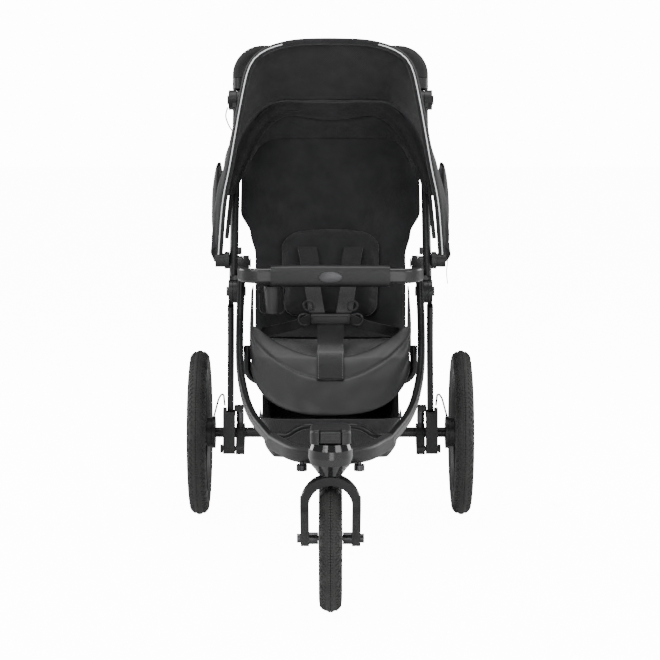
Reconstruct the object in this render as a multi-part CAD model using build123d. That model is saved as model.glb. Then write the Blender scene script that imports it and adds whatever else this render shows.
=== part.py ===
"""Three-wheeled jogging stroller with a one-fold frame, swivel fork, canopy and reclining seat.

Millimetres. +Z up, -Y is forward, +X is the right side seen from the front.
Everything is laid out from the rear axle line (y = 0) and the floor (z = 0);
the finished model is moved along Y so that the middle of its footprint is the origin.
"""
import os
from math import atan2, cos, degrees, hypot, pi, radians, sin, tan

from build123d import *

# ---- driving dimensions -------------------------------------------------------------
# wheels
REAR_WHEEL_D = 390.0
REAR_TYRE_W = 44.0
FRONT_WHEEL_D = 305.0
FRONT_TYRE_W = 48.0
REAR_TYRE_H = 44.0
FRONT_TYRE_H = 46.0
RIM_WALL = 4.0
SPOKE_COUNT = 6
SPOKE_W = 20.0
SPOKE_T = 12.0
REAR_HUB_R = 27.0
FRONT_HUB_R = 23.0
FRONT_HUB_HALF_W = 25.0
REAR_HUB_HALF_W = 16.0
AXLE_R = 5.0

# chassis layout
WHEELBASE = 750.0
FRAME_HALF_W = 203.0
TRACK_GAP = 51.0
FOLD_Y = -70.0
FOLD_RISE = 353.0
FRONT_NOSE_HALF_W = 121.0
PLATE_R = 27.0
LUG_T = 11.0
PLATE_T = 10.0
PLATE_GAP = 1.0
FOLD_PIN_R = 6.0
PIN_HEAD_T = 4.0
RUN = 0.05
SEAM = 0.1
CLEAR = 1.0

# tubes: oval width x height, round radius, walls
FRONT_TUBE_W = 17.0
FRONT_TUBE_H = 28.0
UPPER_TUBE_W = 20.0
UPPER_TUBE_H = 30.0
REAR_TUBE_W = 15.0
REAR_TUBE_H = 30.0
TUBE_WALL = 1.8
SPIGOT_L = 28.0

# fork and swivel
TRAIL = 90.0
STEM_R = 10.0
FORK_LEG_T = 17.5
FORK_GAP = 20.0
FORK_CROWN_Z = 310.0
FORK_CROWN_T = 16.0
FORK_TAIL = 15.0
HOUSING_R = 46.0
HOUSING_H = 51.0
COLLAR_H = 17.0
NECK_H = 29.0
LOCK_TRAVEL = 8.0

# handle
HANDLE_PIVOT_DY = 320.0
HANDLE_PIVOT_DZ = 413.0
HANDLE_HUB_R = 24.0
HANDLE_TUBE_R = 11.0
GRIP_R = 15.0
HANDLE_LEAN_DY = 35.0
HANDLE_RISE = 114.0
HANDLE_BEND_R = 58.0
BUTTON_TRAVEL = 3.0

# seat
SEAT_HALF_W = 174.0
SEAT_T = 32.0
CREASE_Y = -20.0
CREASE_Z = 430.0
SEAT_LIP_Y = -330.0
BACK_L = 490.0
BACK_LEAN = 27.4
BACK_T = 10.0
PAD_T = 20.0
BACK_TUBE_R = 7.0
CALF_DROP = 104.0
CALF_RUN = 90.0
CALF_T = 20.0
STRAP_T = 2.5

# bumper bar
BAR_Y = -70.0
BAR_RISE = 67.0
BAR_REACH = 180.0
BAR_T = 14.0
BAR_H = 34.0
BAR_FLARE = 11.0
BAR_STRAIGHT = 42.0
BAR_CORNER_R = 40.0
BAR_PAD_HALF = 133.0
BAR_PAD_H = 49.0
BAR_PAD_D = 34.0

# canopy
CANOPY_ALONG = 82.0
BOW_R = 5.5
BOW_RISE = 508.0
BOW_LEAN = 19.0
REAR_BOW_R = 5.0
CANOPY_T = 3.0

# rear axle
BEAM_R = 12.0
SUSP_DY = -40.0
SUSP_DZ = -30.0
BOOT_R = 15.0
BRAKE_PLATE_R = 38.0

# ---- derived lines ------------------------------------------------------------------
REAR_AXLE_Z = REAR_WHEEL_D / 2
FRONT_AXLE_Z = FRONT_WHEEL_D / 2
FOLD_Z = REAR_AXLE_Z + FOLD_RISE
LUG_IN = FRAME_HALF_W
LUG_OUT = LUG_IN + LUG_T
UPPER_IN = LUG_OUT + PLATE_GAP
UPPER_OUT = UPPER_IN + PLATE_T
REAR_IN = UPPER_OUT + PLATE_GAP
REAR_OUT = REAR_IN + PLATE_T
TRACK_HALF = REAR_OUT + PLATE_GAP + TRACK_GAP + REAR_TYRE_W / 2
SWIVEL_Y = -WHEELBASE - TRAIL
HANDLE_Y = FOLD_Y + HANDLE_PIVOT_DY
HANDLE_Z = FOLD_Z + HANDLE_PIVOT_DZ
FRAME_L = hypot(HANDLE_PIVOT_DY, HANDLE_PIVOT_DZ)
FRAME_DIR = (HANDLE_PIVOT_DY / FRAME_L, HANDLE_PIVOT_DZ / FRAME_L)
CANOPY_Y = FOLD_Y + CANOPY_ALONG * FRAME_DIR[0]
CANOPY_Z = FOLD_Z + CANOPY_ALONG * FRAME_DIR[1]
BAR_Z = FOLD_Z + BAR_RISE
BACK_DIR = (sin(radians(BACK_LEAN)), cos(radians(BACK_LEAN)))
HOUSING_Z = FORK_CROWN_Z + 3.0 + COLLAR_H

nodes = {}


# ---- helpers ------------------------------------------------------------------------
def corner_radii(points, share=0.45):
    """The largest tangent arcs that a route's runs leave room for, one for each corner."""
    radii = []
    for a, b, c in zip(points, points[1:], points[2:]):
        u = Vector(*b) - Vector(*a)
        v = Vector(*c) - Vector(*b)
        half_turn = radians(u.get_angle(v)) / 2
        radii.append(share * min(u.length, v.length) / tan(half_turn))
    return radii


def route(points, radii=None):
    return FilletPolyline(*points, radius=radii or corner_radii(points))


def start_plane(path):
    """The plane across a path's start, with its X as near the world's X as it can be."""
    along = path % 0
    side = Vector(1, 0, 0) - along * along.X
    if side.length < 0.2:
        side = Vector(0, 1, 0) - along * along.Y
    return Plane(origin=path @ 0, x_dir=side, z_dir=along)


def along(points, section, radii=None):
    path = route(points, radii) if len(points) > 2 else Line(*points)
    return sweep(start_plane(path) * section, path=path)


def oval(width, height):
    if height > width:
        return SlotOverall(height, width, rotation=90)
    return SlotOverall(width, height)


def oval_tube(width, height, wall):
    return oval(width, height) - oval(width - 2 * wall, height - 2 * wall)


def disc_x(x0, x1, y, z, r, bore=0.0):
    """A disc across the stroller, between two X planes, with an optional bore."""
    solid = Pos((x0 + x1) / 2, y, z) * Rot(0, 90, 0) * Cylinder(r, abs(x1 - x0))
    if bore:
        solid -= Pos((x0 + x1) / 2, y, z) * Rot(0, 90, 0) * Cylinder(bore, abs(x1 - x0) + 2)
    return solid


def side_plate(points, x0, x1, edge=0.0):
    """A plate cut to a side-view outline of (y, z) corners, between two X planes."""
    face = make_face(Polyline(*[(x0, y, z) for y, z in points], close=True))
    solid = extrude(face, abs(x1 - x0), dir=(1 if x1 > x0 else -1, 0, 0))
    return fillet(solid.edges(), edge) if edge else solid


def link_x(x0, x1, ends):
    """A link of two round ends joined by straight flanks, each end (y, z, r)."""
    (ya, za, ra), (yb, zb, rb) = ends
    length = hypot(yb - ya, zb - za)
    heading = atan2(zb - za, yb - ya)
    lean = atan2(ra - rb, length)
    corners = []
    for sign in (1, -1):
        turn = heading + sign * (pi / 2 - lean)
        corners.append((ya + ra * cos(turn), za + ra * sin(turn)))
        corners.append((yb + rb * cos(turn), zb + rb * sin(turn)))
    flank = side_plate([corners[0], corners[1], corners[3], corners[2]], x0, x1)
    return flank + disc_x(x0, x1, ya, za, ra) + disc_x(x0, x1, yb, zb, rb)


def box(x0, x1, y0, y1, z0, z1, edge=0.0):
    solid = Pos((x0 + x1) / 2, (y0 + y1) / 2, (z0 + z1) / 2) * Box(
        abs(x1 - x0), abs(y1 - y0), abs(z1 - z0)
    )
    return fillet(solid.edges(), edge) if edge else solid


def skin(rows, thickness):
    """A thin sheet over a grid of points, its thickness laid off on the left of row x column."""
    grid = [[Vector(*p) for p in row] for row in rows]
    last_r = len(grid) - 1
    last_c = len(grid[0]) - 1
    under = []
    for r, row in enumerate(grid):
        under.append([])
        for c, p in enumerate(row):
            down = grid[min(r + 1, last_r)][c] - grid[max(r - 1, 0)][c]
            across = row[min(c + 1, last_c)] - row[max(c - 1, 0)]
            under[-1].append(p + down.cross(across).normalized() * thickness)
    quads = []
    for r in range(last_r):
        for c in range(last_c):
            quads.append([g[i][j] for g in (grid,) for i, j in ((r, c), (r, c + 1), (r + 1, c + 1), (r + 1, c))])
            quads.append([g[i][j] for g in (under,) for i, j in ((r, c), (r + 1, c), (r + 1, c + 1), (r, c + 1))])
    for c in range(last_c):
        quads.append([grid[0][c], under[0][c], under[0][c + 1], grid[0][c + 1]])
        quads.append([grid[-1][c], grid[-1][c + 1], under[-1][c + 1], under[-1][c]])
    for r in range(last_r):
        quads.append([grid[r][0], grid[r + 1][0], under[r + 1][0], under[r][0]])
        quads.append([grid[r][-1], under[r][-1], under[r + 1][-1], grid[r + 1][-1]])
    faces = []
    for a, b, c, d in quads:
        faces.append(make_face(Polyline(a, b, c, close=True)).face())
        faces.append(make_face(Polyline(a, c, d, close=True)).face())
    return Solid(Shell(faces))


def pair(solid):
    return [solid, mirror(solid, about=Plane.YZ)]


def keep(name, *solids):
    """Puts finished solids in a node."""
    nodes.setdefault(name, []).extend(solids)


def keep_sides(name, solid):
    """A right-hand piece and its mirror image, each in a node of its own."""
    keep(name + "_right", solid)
    keep(name + "_left", mirror(solid, about=Plane.YZ))


def on_line(start, direction, distance):
    return (start[0] + direction[0] * distance, start[1] + direction[1] * distance)


# ---- wheels -------------------------------------------------------------------------
def tyre(y, z, x, outer_r, width, height):
    """A pneumatic tyre: a round-crowned ring that sits on the rim's seat."""
    inner_r = outer_r - height
    seat = width * 0.3
    with_crown = [
        (seat, inner_r),
        (seat, inner_r + 7),
        (width / 2 - 1.5, inner_r + height * 0.4),
        (width / 2, inner_r + height * 0.58),
        (width / 2 - 5, inner_r + height * 0.84),
        (width / 4, inner_r + height - 2.2),
        (0, inner_r + height),
    ]
    outline = with_crown + [(-a, b) for a, b in reversed(with_crown[:-1])]
    ring = revolve(
        make_face(Polyline(*[(a, b, 0) for a, b in outline], close=True)), Axis.X, 360
    )
    return Pos(x, y, z) * ring


def rim(y, z, x, outer_r, width, height, hub_r, hub_half_w):
    """A moulded wheel: hub, six spokes and a channel that carries the tyre."""
    seat_r = outer_r - height - SEAM
    seat = width * 0.3
    channel = [
        (-seat - 3, seat_r + 6),
        (-seat - 0.3, seat_r + 6),
        (-seat - 0.3, seat_r),
        (seat + 0.3, seat_r),
        (seat + 0.3, seat_r + 6),
        (seat + 3, seat_r + 6),
        (seat + 3, seat_r - RIM_WALL),
        (seat - 3, seat_r - RIM_WALL - 5),
        (-seat + 3, seat_r - RIM_WALL - 5),
        (-seat - 3, seat_r - RIM_WALL),
    ]
    solid = revolve(
        make_face(Polyline(*[(a, b, 0) for a, b in channel], close=True)), Axis.X, 360
    )
    spoke_l = seat_r - RIM_WALL - hub_r + 4
    spoke = Pos(0, 0, hub_r - 4 + spoke_l / 2) * Box(SPOKE_T, SPOKE_W, spoke_l)
    for n in range(SPOKE_COUNT):
        solid += Rot(360 / SPOKE_COUNT * n, 0, 0) * spoke
    solid += Rot(0, 90, 0) * Cylinder(hub_r, 2 * hub_half_w)
    solid -= Rot(0, 90, 0) * Cylinder(AXLE_R + RUN, 2 * hub_half_w + 2)
    return Pos(x, y, z) * solid


REAR_WHEEL = (0.0, REAR_AXLE_Z, TRACK_HALF, REAR_WHEEL_D / 2, REAR_TYRE_W, REAR_TYRE_H)
FRONT_WHEEL = (-WHEELBASE, FRONT_AXLE_Z, 0.0, FRONT_WHEEL_D / 2, FRONT_TYRE_W, FRONT_TYRE_H)
keep_sides("rear_tyre", tyre(*REAR_WHEEL))
keep_sides("rear_rim", rim(*REAR_WHEEL, REAR_HUB_R, REAR_HUB_HALF_W))
keep("front_tyre", tyre(*FRONT_WHEEL))
keep("front_rim", rim(*FRONT_WHEEL, FRONT_HUB_R, FRONT_HUB_HALF_W))

# ---- fork: arched crown, two legs, stem, axle bolt ----------------------------------
FORK_IN = FRONT_TYRE_W / 2 + FORK_GAP
FORK_OUT = FORK_IN + FORK_LEG_T
CROWN_Y0 = SWIVEL_Y - 18.0
CROWN_Y1 = SWIVEL_Y + 18.0
SPRING_Z = FORK_CROWN_Z - FORK_OUT
crown_outer = Pos(0, SWIVEL_Y, SPRING_Z) * Rot(90, 0, 0) * Cylinder(FORK_OUT, CROWN_Y1 - CROWN_Y0)
crown_inner = Pos(0, SWIVEL_Y, SPRING_Z) * Rot(90, 0, 0) * Cylinder(FORK_IN, 60)
crown = crown_outer - crown_inner
crown &= box(-FORK_OUT - 1, FORK_OUT + 1, CROWN_Y0, CROWN_Y1, SPRING_Z, FORK_CROWN_Z + 1)
axle_dy = TRAIL
axle_dz = FRONT_AXLE_Z - SPRING_Z
leg_l = hypot(axle_dy, axle_dz)
leg_end = (
    -WHEELBASE + FORK_TAIL * axle_dy / leg_l * 0.5,
    FRONT_AXLE_Z + FORK_TAIL * axle_dz / leg_l * 0.5,
    13.0,
)
leg = link_x(FORK_IN, FORK_OUT, [(SWIVEL_Y, SPRING_Z, 18.0), leg_end])
leg -= disc_x(FORK_IN - 1, FORK_OUT + 1, -WHEELBASE, FRONT_AXLE_Z, AXLE_R + RUN)
fork = crown + leg + mirror(leg, about=Plane.YZ)
stem_top = HOUSING_Z + HOUSING_H - 12.0
stem_z0 = FORK_CROWN_Z - 10.0
fork += Pos(0, SWIVEL_Y, (stem_z0 + stem_top) / 2) * Cylinder(STEM_R, stem_top - stem_z0)
keep("fork", fork)

AXLE_END = FORK_OUT + 1.0
bolt = disc_x(-AXLE_END, AXLE_END, -WHEELBASE, FRONT_AXLE_Z, AXLE_R)
bolt += disc_x(AXLE_END - 1 + SEAM, AXLE_END + 7, -WHEELBASE, FRONT_AXLE_Z, 9.5)
bolt += disc_x(-AXLE_END - 7, -AXLE_END + 1 - SEAM, -WHEELBASE, FRONT_AXLE_Z, 9.5)
keep("front_axle", bolt)
spacer = disc_x(
    FRONT_HUB_HALF_W + 0.4, FORK_IN - SEAM, -WHEELBASE, FRONT_AXLE_Z, 12.5, AXLE_R + RUN
)
keep("front_axle", *pair(spacer))


# ---- swivel housing, collar, neck and lock ------------------------------------------
def turned(points):
    """A body of revolution on the swivel axis from (radius, z) corners."""
    face = make_face(Polyline(*[(r, 0, z) for r, z in points], close=True))
    return Pos(0, SWIVEL_Y, 0) * revolve(face, Axis.Z, 360)


BUSH_R = STEM_R + RUN
HOUSING_TOP = HOUSING_Z + HOUSING_H
housing_wall = [
    (BUSH_R, HOUSING_Z),
    (HOUSING_R - 9, HOUSING_Z),
    (HOUSING_R - 3, HOUSING_Z + 8),
    (HOUSING_R, HOUSING_Z + 22),
    (HOUSING_R - 1, HOUSING_Z + 38),
    (HOUSING_R - 6, HOUSING_TOP),
    (0, HOUSING_TOP),
    (0, stem_top + 1),
    (BUSH_R, stem_top + 1),
]
keep("swivel_housing", turned(housing_wall))
collar_wall = [
    (BUSH_R + 2, HOUSING_Z - COLLAR_H),
    (24, HOUSING_Z - COLLAR_H),
    (HOUSING_R - 10, HOUSING_Z - SEAM),
    (BUSH_R + 2, HOUSING_Z - SEAM),
]
keep("swivel_housing", turned(collar_wall))
NECK_Z0 = HOUSING_TOP + SEAM
neck = box(-41, 41, SWIVEL_Y - 34, SWIVEL_Y + 40, NECK_Z0, NECK_Z0 + NECK_H)
neck = fillet(neck.edges().filter_by(Axis.Z), 16)
neck = fillet(neck.faces().sort_by(Axis.Z)[-1].edges(), 8)
paddle_well = box(-23, 23, SWIVEL_Y - 40, SWIVEL_Y - 18, NECK_Z0 - 1, NECK_Z0 + NECK_H + 1)
keep("swivel_neck", neck - paddle_well)
paddle = box(
    -21.7, 21.7, SWIVEL_Y - 32, SWIVEL_Y - 19, NECK_Z0 + 0.5, NECK_Z0 + NECK_H - 4, 3
)
for n in range(4):
    groove_z = NECK_Z0 + 7 + 4.5 * n
    paddle -= box(-18, 18, SWIVEL_Y - 34, SWIVEL_Y - 31, groove_z, groove_z + 1.6)
keep("swivel_lock_paddle", paddle)

# ---- front frame: crossmember, tubes, fold lugs, bridge, footrest --------------------
TUBE_X = LUG_OUT - FRONT_TUBE_W / 2
NOSE_Y = SWIVEL_Y + 160.0
NOSE_Z = HOUSING_Z + 11.0
TUBE_TOP = (TUBE_X, FOLD_Y - 26, FOLD_Z + 19)
TUBE_NOSE = (FRONT_NOSE_HALF_W, NOSE_Y, NOSE_Z)
tube_drop = TUBE_TOP[2] - TUBE_NOSE[2]
tube_run = TUBE_NOSE[1] - TUBE_TOP[1]
nose_in = TUBE_X - FRONT_NOSE_HALF_W
front_route = [
    TUBE_TOP,
    (TUBE_X, TUBE_TOP[1] + tube_run * 0.205, TUBE_TOP[2] - tube_drop * 0.31),
    (TUBE_X - nose_in * 0.07, TUBE_TOP[1] + tube_run * 0.495, TUBE_TOP[2] - tube_drop * 0.633),
    (TUBE_X - nose_in * 0.37, TUBE_TOP[1] + tube_run * 0.752, TUBE_TOP[2] - tube_drop * 0.885),
    TUBE_NOSE,
]
keep_sides("front_tube", along(front_route, oval_tube(FRONT_TUBE_W, FRONT_TUBE_H, TUBE_WALL)))


def spigot(a, b, length, width, height):
    """The solid plug that stands inside a tube's mouth at a, pointing towards b."""
    run = Vector(*b) - Vector(*a)
    tip = Vector(*a) + run * (length / run.length)
    inner_w = width - 2 * (TUBE_WALL + SEAM)
    inner_h = height - 2 * (TUBE_WALL + SEAM)
    return along([a, tuple(tip)], oval(inner_w, inner_h))


wing = along(
    [
        (FRONT_NOSE_HALF_W, NOSE_Y, NOSE_Z),
        (FRONT_NOSE_HALF_W * 0.62, NOSE_Y - 92, NOSE_Z - 3),
        (18, SWIVEL_Y + 30, NOSE_Z - 1),
    ],
    RectangleRounded(24, 34, 9),
)
wing -= along(front_route[:-3:-1], oval(FRONT_TUBE_W + 4, FRONT_TUBE_H + 4))
wing -= turned([(0, 0), (HOUSING_R + 0.2, 0), (HOUSING_R + 0.2, 900), (0, 900)])
plug_run = (Vector(*front_route[-2]) - Vector(*front_route[-1])).normalized() * SPIGOT_L
plug_ends = [front_route[-1], tuple(Vector(*front_route[-1]) + plug_run)]
wing_plug = along(plug_ends, Circle(FRONT_TUBE_W / 2 - TUBE_WALL - 4 * SEAM))
web = box(-60, 60, SWIVEL_Y + HOUSING_R + 2, SWIVEL_Y + 72, NOSE_Z - 12, NOSE_Z + 12)
crossmember = wing + wing_plug
crossmember += mirror(crossmember, about=Plane.YZ)
crossmember += web
keep("front_crossmember", crossmember)

LUG_BAR = (BAR_Y, BAR_Z, 16.0)
lug = link_x(LUG_IN, LUG_OUT, [(FOLD_Y, FOLD_Z, PLATE_R), LUG_BAR])
lug_neck = along(
    [front_route[0], tuple(Vector(*TUBE_TOP) - (Vector(*front_route[1]) - TUBE_TOP) * 0.2)],
    oval(FRONT_TUBE_W, FRONT_TUBE_H),
)
lug_neck &= box(LUG_IN - 6, LUG_OUT, -400, 400, 0, 900)
lug += lug_neck
lug -= along(front_route[:2], oval(FRONT_TUBE_W + 2 * SEAM, FRONT_TUBE_H + 2 * SEAM))
lug += spigot(front_route[0], front_route[1], SPIGOT_L, FRONT_TUBE_W, FRONT_TUBE_H)
lug -= disc_x(LUG_IN - 9, LUG_OUT + 9, FOLD_Y, FOLD_Z, FOLD_PIN_R + RUN)
lug -= disc_x(LUG_IN - 9, LUG_OUT + 9, BAR_Y, BAR_Z, FOLD_PIN_R + RUN)
keep("fold_lugs", *pair(lug))
fold_pin = disc_x(LUG_IN - 3, REAR_OUT + CLEAR, FOLD_Y, FOLD_Z, FOLD_PIN_R)
fold_pin += disc_x(LUG_IN - 3 - PIN_HEAD_T, LUG_IN - SEAM, FOLD_Y, FOLD_Z, 11)
fold_pin += disc_x(REAR_OUT + CLEAR, REAR_OUT + CLEAR + PIN_HEAD_T, FOLD_Y, FOLD_Z, 11)
keep("frame_fasteners", *pair(fold_pin))


def tube_at(y):
    """The front tube's centre where it passes a given Y."""
    for (xa, ya, za), (xb, yb, zb) in zip(front_route, front_route[1:]):
        if yb <= y <= ya:
            share = (y - ya) / (yb - ya)
            return xa + share * (xb - xa), y, za + share * (zb - za)
    return front_route[-1]


CROSS_R = 8.0
CROSS_Y = SEAT_LIP_Y + 38
cross = tube_at(CROSS_Y)
CROSS_IN = cross[0] - FRONT_TUBE_W / 2 - CROSS_R - 0.4
CROSS_Z = CREASE_Z - SEAT_T - CROSS_R - 6
cross_route = [
    (CROSS_IN, CROSS_Y, cross[2]),
    (CROSS_IN, CROSS_Y, CROSS_Z),
    (-CROSS_IN, CROSS_Y, CROSS_Z),
    (-CROSS_IN, CROSS_Y, cross[2]),
]
cross_tube = along(cross_route, Circle(CROSS_R) - Circle(CROSS_R - TUBE_WALL), [30, 30])
keep("frame_cross_tubes", cross_tube)
bridge = tube_at(NOSE_Y + 42)
bridge_in = bridge[0] - FRONT_TUBE_W / 2 - 4
keep(
    "frame_cross_tubes",
    along(
        [
            (-bridge_in, bridge[1], bridge[2] - 6),
            (-bridge_in * 0.75, bridge[1], bridge[2] - 8),
            (-bridge_in * 0.5, bridge[1], bridge[2] + 14),
            (bridge_in * 0.5, bridge[1], bridge[2] + 14),
            (bridge_in * 0.75, bridge[1], bridge[2] - 8),
            (bridge_in, bridge[1], bridge[2] - 6),
        ],
        Circle(6),
    ),
)
bolt_y = SWIVEL_Y + 28
knob = Pos(HOUSING_R + 12, bolt_y, HOUSING_Z - 11) * Cylinder(11, 12)
knob += Pos(HOUSING_R + 12, bolt_y, HOUSING_Z - 3) * Cylinder(5, 8)
keep("frame_fasteners", *pair(knob))

# ---- upper frame: tubes, fold plates, handle caps, canopy hubs -----------------------
UPPER_X = (UPPER_IN + REAR_OUT) / 2
FOLD_AT = (FOLD_Y, FOLD_Z)
UPPER_LOW = on_line(FOLD_AT, FRAME_DIR, PLATE_R + 7)
UPPER_HIGH = on_line(FOLD_AT, FRAME_DIR, FRAME_L - HANDLE_HUB_R - 6)
upper_ends = [(UPPER_X, *UPPER_LOW), (UPPER_X, *UPPER_HIGH)]
keep("upper_tubes", *pair(along(upper_ends, oval_tube(UPPER_TUBE_W, UPPER_TUBE_H, TUBE_WALL))))

upper_plate = disc_x(UPPER_IN, UPPER_OUT, *FOLD_AT, PLATE_R)
upper_plate += link_x(UPPER_IN, UPPER_OUT, [(*FOLD_AT, 20.0), (*UPPER_LOW, 14.0)]) & side_plate(
    [
        (FOLD_Y - 40, FOLD_Z - 5),
        (FOLD_Y + 40, FOLD_Z - 40),
        (UPPER_LOW[0] + 14 * FRAME_DIR[1], UPPER_LOW[1] - 14 * FRAME_DIR[0]),
        (UPPER_LOW[0] - 14 * FRAME_DIR[1], UPPER_LOW[1] + 14 * FRAME_DIR[0]),
    ],
    UPPER_IN,
    UPPER_OUT,
)
upper_plate += spigot(upper_ends[0], upper_ends[1], SPIGOT_L, UPPER_TUBE_W, UPPER_TUBE_H)
upper_plate -= disc_x(UPPER_IN - 9, REAR_OUT + 9, *FOLD_AT, FOLD_PIN_R + RUN)
keep("upper_fold_plates", *pair(upper_plate))

HANDLE_AT = (HANDLE_Y, HANDLE_Z)
CAP_T = 10.0
HANDLE_SPLIT = UPPER_X + 1.5
cap = disc_x(HANDLE_SPLIT, REAR_OUT + CAP_T, *HANDLE_AT, HANDLE_HUB_R)
cap += link_x(HANDLE_SPLIT, REAR_OUT, [(*HANDLE_AT, 18.0), (*UPPER_HIGH, 14.0)]) & side_plate(
    [
        (HANDLE_Y + 40, HANDLE_Z - 5),
        (HANDLE_Y - 30, HANDLE_Z + 50),
        (UPPER_HIGH[0] - 14 * FRAME_DIR[1], UPPER_HIGH[1] + 14 * FRAME_DIR[0]),
        (UPPER_HIGH[0] + 14 * FRAME_DIR[1], UPPER_HIGH[1] - 14 * FRAME_DIR[0]),
    ],
    HANDLE_SPLIT,
    REAR_OUT,
)
cap += spigot(upper_ends[1], upper_ends[0], SPIGOT_L, UPPER_TUBE_W, UPPER_TUBE_H)
BUTTON_R = 11.0
cap -= disc_x(REAR_OUT + 2, REAR_OUT + CAP_T + 1, *HANDLE_AT, BUTTON_R + 0.4)
cap -= disc_x(HANDLE_SPLIT - 1, REAR_OUT + 3, *HANDLE_AT, FOLD_PIN_R + RUN)
keep("handle_caps", *pair(cap))
button = disc_x(REAR_OUT + 2 + BUTTON_TRAVEL + 0.5, REAR_OUT + CAP_T + 3.5, *HANDLE_AT, BUTTON_R)
keep_sides("handle_button", button)

CANOPY_AT = (CANOPY_Y, CANOPY_Z)
BOW_HUB_IN = REAR_OUT + 11.5
canopy_hub = disc_x(REAR_OUT + SEAM, REAR_OUT + 11, *CANOPY_AT, 20)
canopy_hub += disc_x(REAR_OUT + 10, REAR_OUT + 27, *CANOPY_AT, 5)
keep("canopy_hubs", *pair(canopy_hub))

# ---- handle: hub plates, collars, U tube, foam grip ---------------------------------
handle_lean = (HANDLE_LEAN_DY, HANDLE_RISE)
handle_l = hypot(*handle_lean)
HANDLE_DIR = (HANDLE_LEAN_DY / handle_l, HANDLE_RISE / handle_l)
HANDLE_X = REAR_OUT - GRIP_R + 1.0
HANDLE_LOW = on_line(HANDLE_AT, HANDLE_DIR, HANDLE_HUB_R + 2)
HANDLE_TOP = on_line(HANDLE_AT, HANDLE_DIR, handle_l)
HUB_PLATE_OUT = HANDLE_SPLIT - CLEAR
hub_plate = disc_x(UPPER_IN, HUB_PLATE_OUT, *HANDLE_AT, HANDLE_HUB_R)
hub_plate += disc_x(HUB_PLATE_OUT - 1, REAR_OUT + 1.5, *HANDLE_AT, FOLD_PIN_R)
keep("handle_hubs", *pair(hub_plate))
COLLAR_L = 26.0
COLLAR_TOP = on_line(HANDLE_AT, HANDLE_DIR, HANDLE_HUB_R + 2 + COLLAR_L)
collar = along([(HANDLE_X, *HANDLE_LOW), (HANDLE_X, *COLLAR_TOP)], Circle(GRIP_R) - Circle(HANDLE_TUBE_R + SEAM))
collar -= disc_x(UPPER_IN - 20, REAR_OUT + 20, *HANDLE_AT, HANDLE_HUB_R + 1)
keep("handle_hubs", *pair(collar))
handle_points = [
    (HANDLE_X, *HANDLE_LOW),
    (HANDLE_X, *HANDLE_TOP),
    (-HANDLE_X, *HANDLE_TOP),
    (-HANDLE_X, *HANDLE_LOW),
]
keep(
    "handle_tube",
    along(handle_points, Circle(HANDLE_TUBE_R) - Circle(HANDLE_TUBE_R - TUBE_WALL), [HANDLE_BEND_R] * 2),
)
GRIP_LOW = on_line(HANDLE_AT, HANDLE_DIR, HANDLE_HUB_R + 3 + COLLAR_L)
grip_points = [
    (HANDLE_X, *GRIP_LOW),
    (HANDLE_X, *HANDLE_TOP),
    (-HANDLE_X, *HANDLE_TOP),
    (-HANDLE_X, *GRIP_LOW),
]
keep(
    "handle_grip",
    along(grip_points, Circle(GRIP_R) - Circle(HANDLE_TUBE_R + SEAM), [HANDLE_BEND_R] * 2),
)

# ---- seat: cushion, calf flap, side wings, straps -----------------------------------
LIP_Z = CREASE_Z + 12
SEAT_REAR_Y = CREASE_Y - BACK_TUBE_R - 3
seat_outline = [
    (SEAT_REAR_Y, CREASE_Z),
    (SEAT_LIP_Y + 10, LIP_Z),
    (SEAT_LIP_Y, LIP_Z - 10),
    (SEAT_LIP_Y, LIP_Z - SEAT_T + 6),
    (SEAT_LIP_Y + 8, LIP_Z - SEAT_T),
    (SEAT_REAR_Y - 8, CREASE_Z - SEAT_T),
    (SEAT_REAR_Y, CREASE_Z - SEAT_T + 8),
]
keep("seat_cushion", side_plate(seat_outline, -SEAT_HALF_W, SEAT_HALF_W))
CALF_TOP = (SEAT_LIP_Y - 3, LIP_Z - 4)
calf_outline = [
    CALF_TOP,
    (CALF_TOP[0] - 14, CALF_TOP[1] - 10),
    (CALF_TOP[0] - CALF_RUN, CALF_TOP[1] - CALF_DROP + 4),
    (CALF_TOP[0] - CALF_RUN + CALF_T - 2, CALF_TOP[1] - CALF_DROP - 6),
    (CALF_TOP[0], CALF_TOP[1] - CALF_T - 8),
]
calf_half_w = SEAT_HALF_W + 2
calf = side_plate(calf_outline, -calf_half_w, calf_half_w)
calf_fall = degrees(atan2(CALF_DROP, CALF_RUN))
calf_round = (
    Pos(0, CALF_TOP[0] - CALF_RUN / 2, CALF_TOP[1] - CALF_DROP / 2)
    * Rot(calf_fall, 0, 0)
    * extrude(RectangleRounded(2 * calf_half_w, 1.9 * CALF_DROP, 85), 200, both=True)
)
calf &= calf_round
EAR_W = 70.0
ear_outline = [
    (CALF_TOP[0] - 4, CALF_TOP[1] + 2),
    (CALF_TOP[0] + 82, LIP_Z + 58),
    (CALF_TOP[0] + 88, LIP_Z + 48),
    (SEAT_LIP_Y + 6, LIP_Z + 4),
    (CALF_TOP[0], CALF_TOP[1] - 6),
    (CALF_TOP[0] - 6, CALF_TOP[1] - 6),
]
ear = side_plate(ear_outline, calf_half_w - EAR_W, calf_half_w)
calf += ear
calf += mirror(ear, about=Plane.YZ)
keep("calf_flap", calf)
WING_X = SEAT_HALF_W + 4
WING_T = 5.0
wing_outline = [
    (CREASE_Y - 12, CREASE_Z - 4),
    (SEAT_LIP_Y + 64, LIP_Z - 12),
    (SEAT_LIP_Y + 72, LIP_Z + 34),
    (FOLD_Y - 70, FOLD_Z - 42),
    (CREASE_Y - 14, FOLD_Z + 10),
]
keep("seat_side_wings", *pair(side_plate(wing_outline, WING_X, WING_X + WING_T)))
BUCKLE_Y = -190.0
BUCKLE_Z = CREASE_Z + 76
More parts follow.
